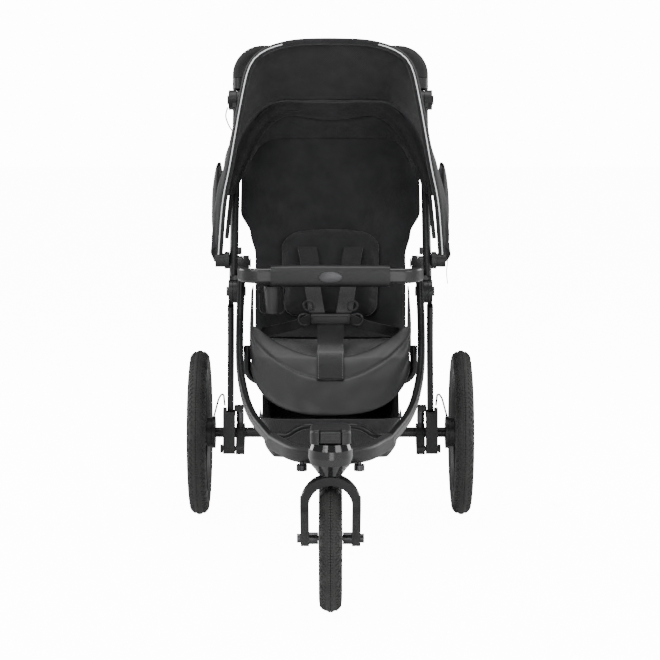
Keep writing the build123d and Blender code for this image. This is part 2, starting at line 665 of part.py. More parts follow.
keep(
    "seat_straps",
    along(
        [
            (0, BUCKLE_Y - 22, LIP_Z - 4),
            (0, BUCKLE_Y - 16, BUCKLE_Z - 30),
            (0, BUCKLE_Y, BUCKLE_Z - 12.5),
        ],
        Rectangle(38, STRAP_T),
    ),
)
keep("harness_buckle", box(-45, 45, BUCKLE_Y - 8, BUCKLE_Y + 8, BUCKLE_Z - 11, BUCKLE_Z + 11, 4))
lap = along(
    [
        (51, BUCKLE_Y + 3, BUCKLE_Z - 1),
        (100, BUCKLE_Y + 40, BUCKLE_Z - 22),
        (SEAT_HALF_W - 12, CREASE_Y - 40, CREASE_Z + 14),
    ],
    Rectangle(25, STRAP_T),
)
keep("seat_straps", *pair(lap))

# ---- seat back: panel, frame tube, pad, shoulder straps -----------------------------
BACK_AT = (CREASE_Y, CREASE_Z)
back_plane = Plane(
    origin=(0, CREASE_Y, CREASE_Z),
    x_dir=(1, 0, 0),
    z_dir=(0, -BACK_DIR[1], BACK_DIR[0]),
)
BACK_FOOT = 26.0
half_profile = [
    (SEAT_HALF_W - 22, BACK_FOOT),
    (SEAT_HALF_W - 8, 215),
    (SEAT_HALF_W + 2, 262),
    (FRAME_HALF_W + 3, 330),
    (FRAME_HALF_W + 2, 415),
    (FRAME_HALF_W - 28, 470),
    (FRAME_HALF_W - 60, BACK_L),
]
profile = half_profile + [(-x, s) for x, s in reversed(half_profile)]
panel = extrude(back_plane * make_face(Polyline(*[(x, s) for x, s in profile], close=True)), BACK_T)
keep("seat_back_panel", panel)


def on_back(x, s, lift):
    """A point on the seat back: across, up along the recline, and off its front face."""
    y, z = on_line(BACK_AT, BACK_DIR, s)
    return (x, y - BACK_DIR[1] * lift, z + BACK_DIR[0] * lift)


frame_lift = -BACK_TUBE_R - 1
frame_half = SEAT_HALF_W - 30
back_route = [
    on_back(frame_half, 14, frame_lift),
    on_back(frame_half, 240, frame_lift),
    on_back(frame_half + 34, BACK_L - 12, frame_lift),
    on_back(-frame_half - 34, BACK_L - 12, frame_lift),
    on_back(-frame_half, 240, frame_lift),
    on_back(-frame_half, 14, frame_lift),
]
back_tube = along(back_route, Circle(BACK_TUBE_R), [300, 48, 48, 300])
back_tube += disc_x(-frame_half - 10, frame_half + 10, *BACK_AT, BACK_TUBE_R)
keep("back_frame_tube", back_tube)
pad_plane = back_plane.offset(BACK_T + 0.3)
PAD_HALF_W = 122.0
PAD_L = 250.0
pad_face = RectangleRounded(2 * PAD_HALF_W, PAD_L, 60)
pad_sketch = pad_plane * (Pos(0, BACK_FOOT + 10 + PAD_L / 2) * pad_face)
pad = extrude(pad_sketch, PAD_T)
keep("seat_back_pad", pad)
shoulder = along(
    [
        on_back(58, PAD_L + 66, BACK_T + 3),
        on_back(54, PAD_L + 50, BACK_T + PAD_T + 10),
        on_back(46, 140, BACK_T + PAD_T + 22),
        (34, BUCKLE_Y + 34, BUCKLE_Z + 24),
        (30, BUCKLE_Y + 4, BUCKLE_Z + 13),
    ],
    Rectangle(36, STRAP_T),
)
keep("shoulder_straps", *pair(shoulder))

# ---- bumper bar: moulded U, padded sleeve, release buttons --------------------------
BAR_X = LUG_IN - CLEAR - BAR_T / 2
BAR_FRONT = BAR_Y - BAR_REACH
bar_points = [
    (BAR_X, BAR_Y, BAR_Z),
    (BAR_X, BAR_Y - BAR_STRAIGHT, BAR_Z),
    (BAR_X + BAR_FLARE, BAR_FRONT, BAR_Z),
    (-BAR_X - BAR_FLARE, BAR_FRONT, BAR_Z),
    (-BAR_X, BAR_Y - BAR_STRAIGHT, BAR_Z),
    (-BAR_X, BAR_Y, BAR_Z),
]
bar = along(bar_points, oval(BAR_T, BAR_H), [200, BAR_CORNER_R, BAR_CORNER_R, 200])
for side in (1, -1):
    x0, x1 = sorted((side * (BAR_X - BAR_T / 2), side * (BAR_X + BAR_T / 2)))
    bar += disc_x(x0, x1, BAR_Y, BAR_Z, 17)
    bar -= disc_x(x0 - 1, x1 + 1, BAR_Y, BAR_Z, FOLD_PIN_R + RUN)
keep("bar_core", bar)
sleeve_plane = Plane(origin=(-BAR_PAD_HALF, BAR_FRONT, BAR_Z), x_dir=(0, 1, 0), z_dir=(1, 0, 0))
sleeve = extrude(sleeve_plane * RectangleRounded(BAR_PAD_D, BAR_PAD_H, 15), 2 * BAR_PAD_HALF)
bar_hole = extrude(
    sleeve_plane * oval(BAR_T + 0.6, BAR_H + 0.6), 2 * BAR_PAD_HALF + 2
)
keep("bar_pad", sleeve - bar_hole)
bar_pin = disc_x(BAR_X - BAR_T / 2 - 1, LUG_OUT - 1, BAR_Y, BAR_Z, FOLD_PIN_R)
bar_pin += disc_x(BAR_X - BAR_T / 2 - 4, BAR_X - BAR_T / 2 - 1, BAR_Y, BAR_Z, 10)
keep("frame_fasteners", *pair(bar_pin))
BUTTON_GAP = 4.0
bar_button = box(
    LUG_IN + 2, LUG_OUT - 1, BAR_Y - 7, BAR_Y + 7, BAR_Z + 16 + BUTTON_GAP, BAR_Z + 36, 2.5
)
keep_sides("bar_release_button", bar_button)

# ---- drink cup in its wire cradle, on the left of the bar ---------------------------
CUP_X = -132.0
CUP_Y = BAR_FRONT + 36.0
CUP_H = 62.0
CUP_TOP = BAR_Z - BAR_PAD_H / 2 - 4
cup_wall = [
    (0, CUP_TOP - CUP_H),
    (15, CUP_TOP - CUP_H),
    (19, CUP_TOP),
    (17.4, CUP_TOP),
    (13.5, CUP_TOP - CUP_H + 2),
    (0, CUP_TOP - CUP_H + 2),
]
cup_face = make_face(Polyline(*[(r, 0, z) for r, z in cup_wall], close=True))
keep("drink_cup", Pos(CUP_X, CUP_Y, 0) * revolve(cup_face, Axis.Z, 360))
WIRE_R = 1.6
wire_low = CUP_TOP - CUP_H - WIRE_R - 0.4
keep(
    "cup_wire",
    along(
        [
            (CUP_X - 28, BAR_FRONT, BAR_Z - BAR_PAD_H / 2 - WIRE_R - 1),
            (CUP_X - 28, CUP_Y, CUP_TOP - 14),
            (CUP_X - 28, CUP_Y, wire_low),
            (CUP_X + 28, CUP_Y, wire_low),
            (CUP_X + 28, CUP_Y, CUP_TOP - 14),
            (CUP_X + 28, BAR_FRONT, BAR_Z - BAR_PAD_H / 2 - WIRE_R - 1),
        ],
        Circle(WIRE_R),
        [10, 12, 12, 10],
    ),
)

# ---- canopy: front bow, rear bow, fabric, drape, pouches ----------------------------
BOW_X = REAR_OUT + 26.0
BOW_TOP_Z = CANOPY_Z + BOW_RISE


def bow_point(x, z):
    return (x, CANOPY_Y + (z - CANOPY_Z) * BOW_LEAN / BOW_RISE, z)


bow_half = [
    bow_point(BOW_X, CANOPY_Z),
    bow_point(BOW_X - 12, CANOPY_Z + BOW_RISE * 0.26),
    bow_point(BOW_X - 30, CANOPY_Z + BOW_RISE * 0.44),
    bow_point(BOW_X - 57, CANOPY_Z + BOW_RISE * 0.73),
    bow_point(BOW_X - 78, CANOPY_Z + BOW_RISE * 0.89),
    bow_point(BOW_X - 112, CANOPY_Z + BOW_RISE * 0.957),
    bow_point(BOW_X - 170, CANOPY_Z + BOW_RISE * 0.992),
]
bow_crown = [bow_point(0, BOW_TOP_Z)]
bow_route = bow_half + bow_crown + [(-x, y, z) for x, y, z in reversed(bow_half)]
bow = along(bow_route, Circle(BOW_R))
for side in (1, -1):
    x0, x1 = sorted((side * BOW_HUB_IN, side * (BOW_X + BOW_R + 1)))
    bow += disc_x(x0, x1, *CANOPY_AT, 16)
    bow -= disc_x(x0 - 1, x1 + 1, *CANOPY_AT, 5 + RUN)
keep("front_bow", bow)



def on_frame(x, up, ahead):
    """A point beside the upper frame: across, up along the tube, and in front of it."""
    y = FOLD_Y + up * FRAME_DIR[0] - ahead * FRAME_DIR[1]
    z = FOLD_Z + up * FRAME_DIR[1] + ahead * FRAME_DIR[0]
    return (x, y, z)


def both_sides(half):
    return half + [(-x, y, z) for x, y, z in reversed(half)]


REAR_BOW_UP = FRAME_L - 38.0
rear_bow_line = [
    (REAR_OUT + 6, REAR_BOW_UP - 356, 24),
    (REAR_OUT - 6, REAR_BOW_UP - 196, 32),
    (FRAME_HALF_W - 8, REAR_BOW_UP - 86, 42),
    (FRAME_HALF_W - 34, REAR_BOW_UP - 30, 47),
    (FRAME_HALF_W - 76, REAR_BOW_UP, 48),
]
rear_half = [on_frame(x, up, ahead) for x, up, ahead in rear_bow_line]
keep("rear_bow", along(both_sides(rear_half), Circle(REAR_BOW_R)))

front_row = [
    bow_point(BOW_X + 2, CANOPY_Z + 34),
    bow_point(BOW_X - 14, CANOPY_Z + BOW_RISE * 0.26),
    bow_point(BOW_X - 36, CANOPY_Z + BOW_RISE * 0.5),
    bow_point(BOW_X - 57, CANOPY_Z + BOW_RISE * 0.73),
    bow_point(BOW_X - 74, CANOPY_Z + BOW_RISE * 0.88),
    bow_point(BOW_X - 108, CANOPY_Z + BOW_RISE * 0.957),
    bow_point(BOW_X - 170, CANOPY_Z + BOW_RISE * 0.992),
    bow_point(60, BOW_TOP_Z - 2),
]
front_row = [(x, y + BOW_R + 4, z) for x, y, z in front_row]
rear_line = [
    (REAR_OUT + 14, REAR_BOW_UP - 348, 34),
    (REAR_OUT + 6, REAR_BOW_UP - 262, 40),
    (REAR_OUT, REAR_BOW_UP - 196, 44),
    (FRAME_HALF_W + 12, REAR_BOW_UP - 130, 48),
    (FRAME_HALF_W - 4, REAR_BOW_UP - 84, 54),
    (FRAME_HALF_W - 30, REAR_BOW_UP - 30, 59),
    (FRAME_HALF_W - 76, REAR_BOW_UP, 60),
    (60, REAR_BOW_UP + 2, 60),
]
rear_row = [on_frame(x, up, ahead) for x, up, ahead in rear_line]
middle_row = []
for (xa, ya, za), (xb, yb, zb) in zip(front_row, rear_row):
    middle_row.append(((xa + xb) / 2 + 3, (ya + yb) / 2, (za + zb) / 2 + 4))
canopy_rows = [both_sides(row) for row in (front_row, middle_row, rear_row)]
keep("canopy_fabric", skin(canopy_rows, CANOPY_T))

DRAPE_T = 2.0
drape_top = [(x, up + 6, ahead - 14) for x, up, ahead in rear_line[4:]]
drape_top = [on_frame(x, up, ahead) for x, up, ahead in drape_top]
back_y, back_z = on_line(BACK_AT, BACK_DIR, BACK_L + 8)
drape_low = [
    (FRAME_HALF_W - 26, back_y + 3, back_z - 10),
    (FRAME_HALF_W - 50, back_y + 5, back_z),
    (FRAME_HALF_W - 90, back_y + 6, back_z + 2),
    (60, back_y + 6, back_z + 2),
]
drape_rows = [both_sides(drape_top), both_sides(drape_low)]
keep("rear_drape", skin(drape_rows, DRAPE_T))

POUCH_IN = REAR_OUT + CAP_T + 3
POUCH_OUT = POUCH_IN + 37
pouch_outline = [
    (HANDLE_Y - 178, CANOPY_Z + 6),
    (HANDLE_Y - 196, CANOPY_Z + 40),
    (HANDLE_Y - 178, CANOPY_Z + 196),
    (HANDLE_Y - 60, CANOPY_Z + 206),
    (HANDLE_Y - 52, CANOPY_Z + 60),
    (HANDLE_Y - 90, CANOPY_Z + 6),
]
pouch = side_plate(pouch_outline, POUCH_IN, POUCH_OUT)
well = side_plate(
    [
        (HANDLE_Y - 180, CANOPY_Z + 30),
        (HANDLE_Y - 174, CANOPY_Z + 240),
        (HANDLE_Y - 66, CANOPY_Z + 240),
        (HANDLE_Y - 68, CANOPY_Z + 30),
    ],
    POUCH_IN + 3,
    POUCH_OUT - 3,
)
keep_sides("side_pouch", pouch - well)

# ---- rear legs, boots, axle beam, shocks, brakes ------------------------------------
REAR_X = REAR_OUT - REAR_TUBE_W / 2 + 3
LEG_TOP = (REAR_X, FOLD_Y + 7, FOLD_Z - PLATE_R - 8)
LEG_LOW_Z = REAR_AXLE_Z + 58
LEG_LOW = (REAR_X + 5, FOLD_Y + 58, LEG_LOW_Z)
LEG_MID = (REAR_X + 1, FOLD_Y + 22, FOLD_Z - 120)
rear_leg_route = [LEG_TOP, LEG_MID, LEG_LOW]
rear_leg = along(rear_leg_route, oval_tube(REAR_TUBE_W, REAR_TUBE_H, TUBE_WALL))
keep("rear_legs", *pair(rear_leg))
rear_plate = link_x(REAR_IN, REAR_OUT, [(*FOLD_AT, PLATE_R), (LEG_TOP[1], LEG_TOP[2] + 14, 14)])
rear_plate -= along([LEG_TOP, LEG_MID], oval(REAR_TUBE_W + 2 * SEAM, REAR_TUBE_H + 2 * SEAM))
rear_plate += spigot(LEG_TOP, LEG_MID, SPIGOT_L, REAR_TUBE_W, REAR_TUBE_H)
rear_plate -= disc_x(REAR_IN - 9, REAR_OUT + 9, *FOLD_AT, FOLD_PIN_R + RUN)
keep("rear_fold_plates", *pair(rear_plate))

SUSP_AT = (SUSP_DY, REAR_AXLE_Z + SUSP_DZ)
SHOCK_X = REAR_OUT - 22
boot = link_x(
    REAR_X - 6,
    REAR_X + 22,
    [(LEG_LOW[1] - 12, LEG_LOW_Z - 8, BOOT_R + 1), (*SUSP_AT, BOOT_R - 2)],
)
boot -= disc_x(REAR_X - 10, REAR_X + 30, *SUSP_AT, FOLD_PIN_R + RUN)
boot -= box(REAR_X - 12, REAR_X + 13.5, LEG_LOW[1] - 26, LEG_LOW[1] + 18, LEG_LOW_Z - 3, LEG_LOW_Z + 40)
shock_arm = box(SHOCK_X - 8, REAR_X - 4, SUSP_DY + 16, SUSP_DY + 46, LEG_LOW_Z - 2, LEG_LOW_Z + 8)
shock_arm += box(REAR_X - 6.5, REAR_X + 2, SUSP_DY + 16, SUSP_DY + 46, LEG_LOW_Z - 14, LEG_LOW_Z - 4)
boot += shock_arm
keep("suspension_boots", *pair(boot))

WHEEL_IN = TRACK_HALF - REAR_HUB_HALF_W
beam_half = WHEEL_IN - 8
beam = disc_x(-beam_half, beam_half, 0, REAR_AXLE_Z, BEAM_R)
for side in (1, -1):
    x0, x1 = sorted((side * (SHOCK_X - 11), side * (REAR_X - 8)))
    beam += link_x(x0, x1, [(0, REAR_AXLE_Z, 22), (*SUSP_AT, 14)])
    beam += Pos(side * SHOCK_X, SUSP_DY + 31, REAR_AXLE_Z + 21) * Cylinder(8, 12)
    x0, x1 = sorted((side * (REAR_X - 9), side * (REAR_X + 26)))
    beam += disc_x(x0, x1, *SUSP_AT, FOLD_PIN_R)
    x0, x1 = sorted((side * (REAR_X + 23), side * (REAR_X + 29)))
    beam += disc_x(x0, x1, *SUSP_AT, 10)
keep("axle_beam", beam)
stub = disc_x(beam_half + SEAM, TRACK_HALF + REAR_HUB_HALF_W + 2, 0, REAR_AXLE_Z, AXLE_R)
stub += disc_x(TRACK_HALF + REAR_HUB_HALF_W + 1, TRACK_HALF + REAR_HUB_HALF_W + 5, 0, REAR_AXLE_Z, 9)
keep("axle_fittings", *pair(stub))
spring_low = REAR_AXLE_Z + 27.5
spring_top = LEG_LOW_Z - 2.5
spring = Pos(SHOCK_X, SUSP_DY + 31, (spring_low + spring_top) / 2) * Cylinder(
    9, spring_top - spring_low
)
keep("shock_springs", *pair(spring))
BRAKE_IN = beam_half - 13
plate_x0 = BRAKE_IN
brake_plate = disc_x(plate_x0, plate_x0 + 7, 0, REAR_AXLE_Z, BRAKE_PLATE_R, BEAM_R + SEAM)
keep("brake_plates", *pair(brake_plate))
drum = disc_x(plate_x0 + 8, WHEEL_IN - 0.5, 0, REAR_AXLE_Z, BRAKE_PLATE_R - 4, BEAM_R + 1.5)
keep_sides("rear_rim", drum)
cable_top = (REAR_X + 18, SUSP_DY + 20, LEG_LOW_Z + 12)
cable = along(
    [
        cable_top,
        (REAR_X + 21, SUSP_DY + 18, LEG_LOW_Z + 44),
        (REAR_X + 32, SUSP_DY + 26, LEG_LOW_Z + 30),
        (plate_x0 + 3.5, -4, REAR_AXLE_Z + BRAKE_PLATE_R + 1),
    ],
    Circle(2.2),
)
keep("brake_cables", *pair(cable))
pedal_y = BEAM_R + 10
pedal = disc_x(-24, 24, pedal_y, REAR_AXLE_Z + 4, 7, FOLD_PIN_R - 2 + RUN)
pedal += box(-22, 22, pedal_y + 4, pedal_y + 58, REAR_AXLE_Z + 4, REAR_AXLE_Z + 10, 2)
keep("brake_pedal", pedal)
pedal_pin = disc_x(-34, 34, pedal_y, REAR_AXLE_Z + 4, FOLD_PIN_R - 2)
for side in (1, -1):
    x0, x1 = sorted((side * 26, side * 33))
    pedal_pin += link_x(x0, x1, [(BEAM_R + 3, REAR_AXLE_Z, 5), (pedal_y, REAR_AXLE_Z + 4, 7)])
pedal_pin -= disc_x(-40, 40, 0, REAR_AXLE_Z, BEAM_R + SEAM)
keep("axle_fittings", pedal_pin)

# ---- storage basket and footrest under the seat -------------------------------------
BASKET_HALF = CROSS_IN - 32
BASKET_Z = REAR_AXLE_Z + 55
basket_front = NOSE_Y + 130
basket_outline = [
    (basket_front, NOSE_Z + 8),
    (basket_front + 40, BASKET_Z + 8),
    (basket_front + 52, BASKET_Z),
    (CREASE_Y - 72, BASKET_Z),
    (CREASE_Y - 60, BASKET_Z + 8),
    (CREASE_Y - 42, BASKET_Z + 110),
    (CALF_TOP[0] + 30, CALF_TOP[1] - CALF_DROP - 16),
    (CALF_TOP[0] - CALF_RUN - 16, CALF_TOP[1] - CALF_DROP - 16),
]
basket = side_plate(basket_outline, -BASKET_HALF, BASKET_HALF)
basket_inside = [
    (basket_front + 4, NOSE_Z + 9),
    (basket_front + 43, BASKET_Z + 10),
    (basket_front + 54, BASKET_Z + 3),
    (CREASE_Y - 74, BASKET_Z + 3),
    (CREASE_Y - 63, BASKET_Z + 10),
    (CREASE_Y - 46, BASKET_Z + 112),
]
basket -= side_plate(basket_inside, -BASKET_HALF + 3, BASKET_HALF - 3)
keep("storage_basket", basket)

# ---- recline strap, handle cable, hanging tie cords ---------------------------------
cable_loop = along(
    [
        (-REAR_OUT - CAP_T - 3, HANDLE_Y, HANDLE_Z - 18),
        (-REAR_OUT - CAP_T - 9, HANDLE_Y, HANDLE_Z - 38),
        (-REAR_OUT - CAP_T - 2, HANDLE_Y - 6, HANDLE_Z - 58),
        (-REAR_OUT - 2.5, HANDLE_Y - 16, HANDLE_Z - 72),
    ],
    Circle(1.6),
)
keep("handle_cable", cable_loop)
CORD_R = 1.0
cord_x = BOW_X + 10
cord_y = CANOPY_Y + 12
cord_points = [
    (cord_x, cord_y, CANOPY_Z + 30),
    (cord_x + 3, cord_y - 1, CANOPY_Z + 12),
    (cord_x + 2, cord_y, CANOPY_Z - 10),
    (cord_x - 1, cord_y + 2, CANOPY_Z - 34),
    (cord_x + 3, cord_y + 1, CANOPY_Z - 58),
]
print("tie cord radii", [round(r) for r in corner_radii(cord_points)])
keep("tie_cord", along(cord_points, Circle(CORD_R)))

# ---- export -------------------------------------------------------------------------
def write_nodes():
    boxes = [s.bounding_box() for solids in nodes.values() for s in solids]
    front = min(b.min.Y for b in boxes)
    rear = max(b.max.Y for b in boxes)
    shift = -(front + rear) / 2
    os.makedirs("parts", exist_ok=True)
    for name, solids in nodes.items():
        moved = [Pos(0, shift, 0) * s for s in solids]
        whole = moved[0] if len(moved) == 1 else Compound(children=moved)
        export_step(whole, os.path.join("parts", name + ".step"))
    print("moved along Y by", round(shift, 3), "nodes", len(nodes))
    return shift


SHIFT_Y = write_nodes()
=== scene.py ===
"""A three-wheeled jogging stroller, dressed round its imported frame. Metres, +Z up, -Y forward."""
from math import atan2, cos, pi, radians, sin, sqrt

import bpy
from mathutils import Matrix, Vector, noise


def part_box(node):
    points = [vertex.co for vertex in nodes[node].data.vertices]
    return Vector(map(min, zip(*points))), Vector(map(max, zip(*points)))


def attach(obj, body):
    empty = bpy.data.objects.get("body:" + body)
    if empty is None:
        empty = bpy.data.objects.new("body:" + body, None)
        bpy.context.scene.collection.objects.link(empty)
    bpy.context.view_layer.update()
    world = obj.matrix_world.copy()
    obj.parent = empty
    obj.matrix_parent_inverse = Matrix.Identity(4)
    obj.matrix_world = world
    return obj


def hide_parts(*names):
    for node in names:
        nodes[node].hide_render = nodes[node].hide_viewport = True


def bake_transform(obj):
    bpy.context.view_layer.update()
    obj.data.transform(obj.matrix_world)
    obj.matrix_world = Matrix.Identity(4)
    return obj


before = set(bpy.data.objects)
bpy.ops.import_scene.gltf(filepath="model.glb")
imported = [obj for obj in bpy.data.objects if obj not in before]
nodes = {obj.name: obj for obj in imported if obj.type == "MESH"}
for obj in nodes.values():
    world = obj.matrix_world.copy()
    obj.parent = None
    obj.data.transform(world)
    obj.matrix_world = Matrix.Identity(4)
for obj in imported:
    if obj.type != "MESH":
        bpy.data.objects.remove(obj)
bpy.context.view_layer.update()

# ---- Studio -------------------------------------------------------------------------
# A long lens stands five metres in front of the stroller, a little above its handle.
# Big soft lights above and to both sides leave pale edges on the black parts.
camera = bpy.data.objects.new("camera", bpy.data.cameras.new("camera"))
camera.data.lens = 125.5
camera.data.sensor_width = 36
camera.location = (-0.001, -5.0218, 1.488)
camera.rotation_euler = (radians(90 - 11.11), 0, 0)
bpy.context.collection.objects.link(camera)
bpy.context.scene.camera = camera


def soft_light(name, place, size, watts):
    """A square lamp that faces the middle of the seat."""
    lamp = bpy.data.lights.new(name, "AREA")
    lamp.size = size
    lamp.energy = watts
    light = bpy.data.objects.new(name, lamp)
    light.location = place
    aim = Vector((0, 0, 0.55)) - Vector(place)
    light.rotation_euler = aim.to_track_quat("-Z", "Y").to_euler()
    bpy.context.collection.objects.link(light)


soft_light("key", (-1.6, -3.2, 2.9), 1.8, 95)
soft_light("fill", (2.2, -2.8, 1.7), 1.8, 60)
soft_light("low_front", (0.3, -3.6, 0.35), 1.2, 26)
soft_light("left_edge", (-2.6, 0.9, 1.2), 1.4, 60)
soft_light("right_edge", (2.6, 0.9, 1.2), 1.4, 60)
soft_light("top", (0, 0.3, 3.4), 1.6, 55)

studio = bpy.data.worlds.new("studio")
studio.use_nodes = True
sky = studio.node_tree.nodes["Background"]
sky.inputs["Color"].default_value = (1, 1, 1, 1)
seen_or_lit = studio.node_tree.nodes.new("ShaderNodeLightPath")
strength = studio.node_tree.nodes.new("ShaderNodeMapRange")
strength.inputs["To Min"].default_value = 0.13
strength.inputs["To Max"].default_value = 14.0
studio.node_tree.links.new(seen_or_lit.outputs["Is Camera Ray"], strength.inputs["Value"])
studio.node_tree.links.new(strength.outputs["Result"], sky.inputs["Strength"])
bpy.context.scene.world = studio


def material(name, roughness=0.5, metallic=0.0):
    """A new principled material: (material, nodes, links, shader)."""
    made = bpy.data.materials.new(name)
    made.use_nodes = True
    tree = made.node_tree
    shader = tree.nodes["Principled BSDF"]
    shader.inputs["Roughness"].default_value = roughness
    shader.inputs["Metallic"].default_value = metallic
    return made, tree.nodes, tree.links, shader


def add_piece(name):
    """Names the active object that an operator has just made."""
    piece = bpy.context.object
    piece.name = name
    piece.data.name = name
    return piece


def settle(piece):
    """Moves a finished piece's place, turn and scale into its mesh."""
    bpy.ops.object.select_all(action="DESELECT")
    piece.select_set(True)
    bpy.context.view_layer.objects.active = piece
    bpy.ops.object.transform_apply(location=True, rotation=True, scale=True)
    return piece


def apply_modifiers(piece):
    bpy.context.view_layer.objects.active = piece
    for modifier in list(piece.modifiers):
        bpy.ops.object.modifier_apply(modifier=modifier.name)


def smooth(piece, angle=40):
    bpy.ops.object.select_all(action="DESELECT")
    piece.select_set(True)
    bpy.context.view_layer.objects.active = piece
    bpy.ops.object.shade_smooth_by_angle(angle=radians(angle))


bpy.ops.object.select_all(action="DESELECT")
bpy.ops.mesh.primitive_plane_add(size=14, location=(0, 0, 0))
floor = add_piece("floor")
floor_paint, _, _, floor_shader = material("pale_floor", 0.9)
floor_shader.inputs["Base Color"].default_value = (0.93, 0.93, 0.93, 1)
floor_tree = floor_paint.node_tree
floor_seen = floor_tree.nodes.new("ShaderNodeLightPath")
floor_glow = floor_tree.nodes.new("ShaderNodeMath")
floor_glow.operation = "MULTIPLY"
floor_glow.inputs[1].default_value = 13.0
floor_tree.links.new(floor_seen.outputs["Is Camera Ray"], floor_glow.inputs[0])
floor_tree.links.new(floor_glow.outputs[0], floor_shader.inputs["Emission Strength"])
floor_shader.inputs["Emission Color"].default_value = (1, 1, 1, 1)
floor.data.materials.append(floor_paint)


# ---- Frame metal and mouldings ------------------------------------------------------
# Aluminium tubes in satin gun-metal and black powder coat, nylon mouldings with a fine
# moulded grain, zinc-plated fasteners. The tubes are drawn and bent, the rest is moulded.
def mottled(name, dark, light, rough_low, rough_high, grain, depth, metallic=0.0, patch=9.0):
    """A skin with slow colour and gloss patches over a fine raised grain."""
    made, made_nodes, links, shader = material(name, rough_high, metallic)
    place = made_nodes.new("ShaderNodeTexCoord")
    patches = made_nodes.new("ShaderNodeTexNoise")
    patches.inputs["Scale"].default_value = patch
    patches.inputs["Detail"].default_value = 6
    colour = made_nodes.new("ShaderNodeValToRGB")
    colour.color_ramp.elements[0].position = 0.3
    colour.color_ramp.elements[0].color = (*dark, 1)
    colour.color_ramp.elements[1].position = 0.72
    colour.color_ramp.elements[1].color = (*light, 1)
    gloss = made_nodes.new("ShaderNodeMapRange")
    gloss.inputs["To Min"].default_value = rough_low
    gloss.inputs["To Max"].default_value = rough_high
    grains = made_nodes.new("ShaderNodeTexNoise")
    grains.inputs["Scale"].default_value = grain
    grains.inputs["Detail"].default_value = 3
    bump = made_nodes.new("ShaderNodeBump")
    bump.inputs["Strength"].default_value = 0.35
    bump.inputs["Distance"].default_value = depth
    links.new(place.outputs["Object"], patches.inputs["Vector"])
    links.new(place.outputs["Object"], grains.inputs["Vector"])
    links.new(patches.outputs["Fac"], colour.inputs["Fac"])
    links.new(patches.outputs["Fac"], gloss.inputs["Value"])
    links.new(colour.outputs["Color"], shader.inputs["Base Color"])
    links.new(gloss.outputs["Result"], shader.inputs["Roughness"])
    links.new(grains.outputs["Fac"], bump.inputs["Height"])
    links.new(bump.outputs["Normal"], shader.inputs["Normal"])
    return made


gunmetal = mottled("satin_gunmetal", (0.013, 0.013, 0.0135), (0.024, 0.024, 0.025), 0.30, 0.42, 900, 0.0001, 0.7)
black_coat = mottled("black_powder_coat", (0.008, 0.008, 0.0085), (0.014, 0.014, 0.015), 0.38, 0.5, 1400, 0.0001, 0.2)
zinc = mottled("zinc_plate", (0.05, 0.05, 0.052), (0.11, 0.11, 0.115), 0.28, 0.45, 700, 0.0001, 1.0)
nylon = mottled("black_nylon", (0.007, 0.007, 0.0075), (0.013, 0.013, 0.014), 0.42, 0.58, 1600, 0.00015)
grey_nylon = mottled("grey_nylon", (0.014, 0.014, 0.0145), (0.026, 0.026, 0.027), 0.26, 0.38, 1600, 0.00012)
gloss_black = mottled("polished_black", (0.010, 0.010, 0.011), (0.015, 0.015, 0.016), 0.07, 0.14, 300, 0.00003)
foam = mottled("grip_foam", (0.013, 0.013, 0.013), (0.025, 0.025, 0.025), 0.8, 0.95, 1100, 0.0004)
boot_rubber = mottled("boot_rubber", (0.014, 0.014, 0.014), (0.024, 0.024, 0.024), 0.55, 0.7, 800, 0.0002)


def finish_nodes(paint, names, bevel=0.0):
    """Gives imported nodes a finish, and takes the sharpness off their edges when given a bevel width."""
    for name in names:
        node = nodes[name]
        node.data.materials.clear()
        node.data.materials.append(paint)
        if bevel:
            edge = node.modifiers.new("eased_edges", "BEVEL")
            edge.width = bevel
            edge.segments = 2
            edge.limit_method = "ANGLE"
            edge.angle_limit = radians(50)
            edge.use_clamp_overlap = True


finish_nodes(gunmetal, ["front_tube_left", "front_tube_right", "fork", "frame_cross_tubes"])
finish_nodes(black_coat, ["upper_tubes", "rear_legs", "handle_tube", "front_bow", "rear_bow"])
finish_nodes(black_coat, ["back_frame_tube", "axle_beam", "cup_wire", "upper_fold_plates"])
finish_nodes(black_coat, ["rear_fold_plates"])
finish_nodes(zinc, ["frame_fasteners", "front_axle", "axle_fittings", "shock_springs"])
finish_nodes(nylon, ["front_crossmember", "fold_lugs", "swivel_neck", "handle_caps", "handle_hubs"])
finish_nodes(nylon, ["canopy_hubs", "handle_button_left", "handle_button_right"])
finish_nodes(nylon, ["bar_release_button_left", "bar_release_button_right", "swivel_lock_paddle"])
finish_nodes(nylon, ["rear_rim_left", "rear_rim_right", "front_rim", "brake_plates", "brake_pedal"])
finish_nodes(grey_nylon, ["bar_core", "drink_cup"])
finish_nodes(gloss_black, ["swivel_housing"])
finish_nodes(boot_rubber, ["suspension_boots", "brake_cables", "handle_cable"])
finish_nodes(foam, ["handle_grip"])

# ---- Tyres --------------------------------------------------------------------------
# Pneumatic rubber tyres: a round carcass with a crown of narrow ribs and rows of cut
# blocks towards the shoulders. The tread is moulded with the tyre, in black rubber.
rubber = mottled("tyre_rubber", (0.012, 0.012, 0.012), (0.026, 0.026, 0.025), 0.6, 0.78, 600, 0.0002, patch=26.0)
TREAD_DEPTH = 0.0016


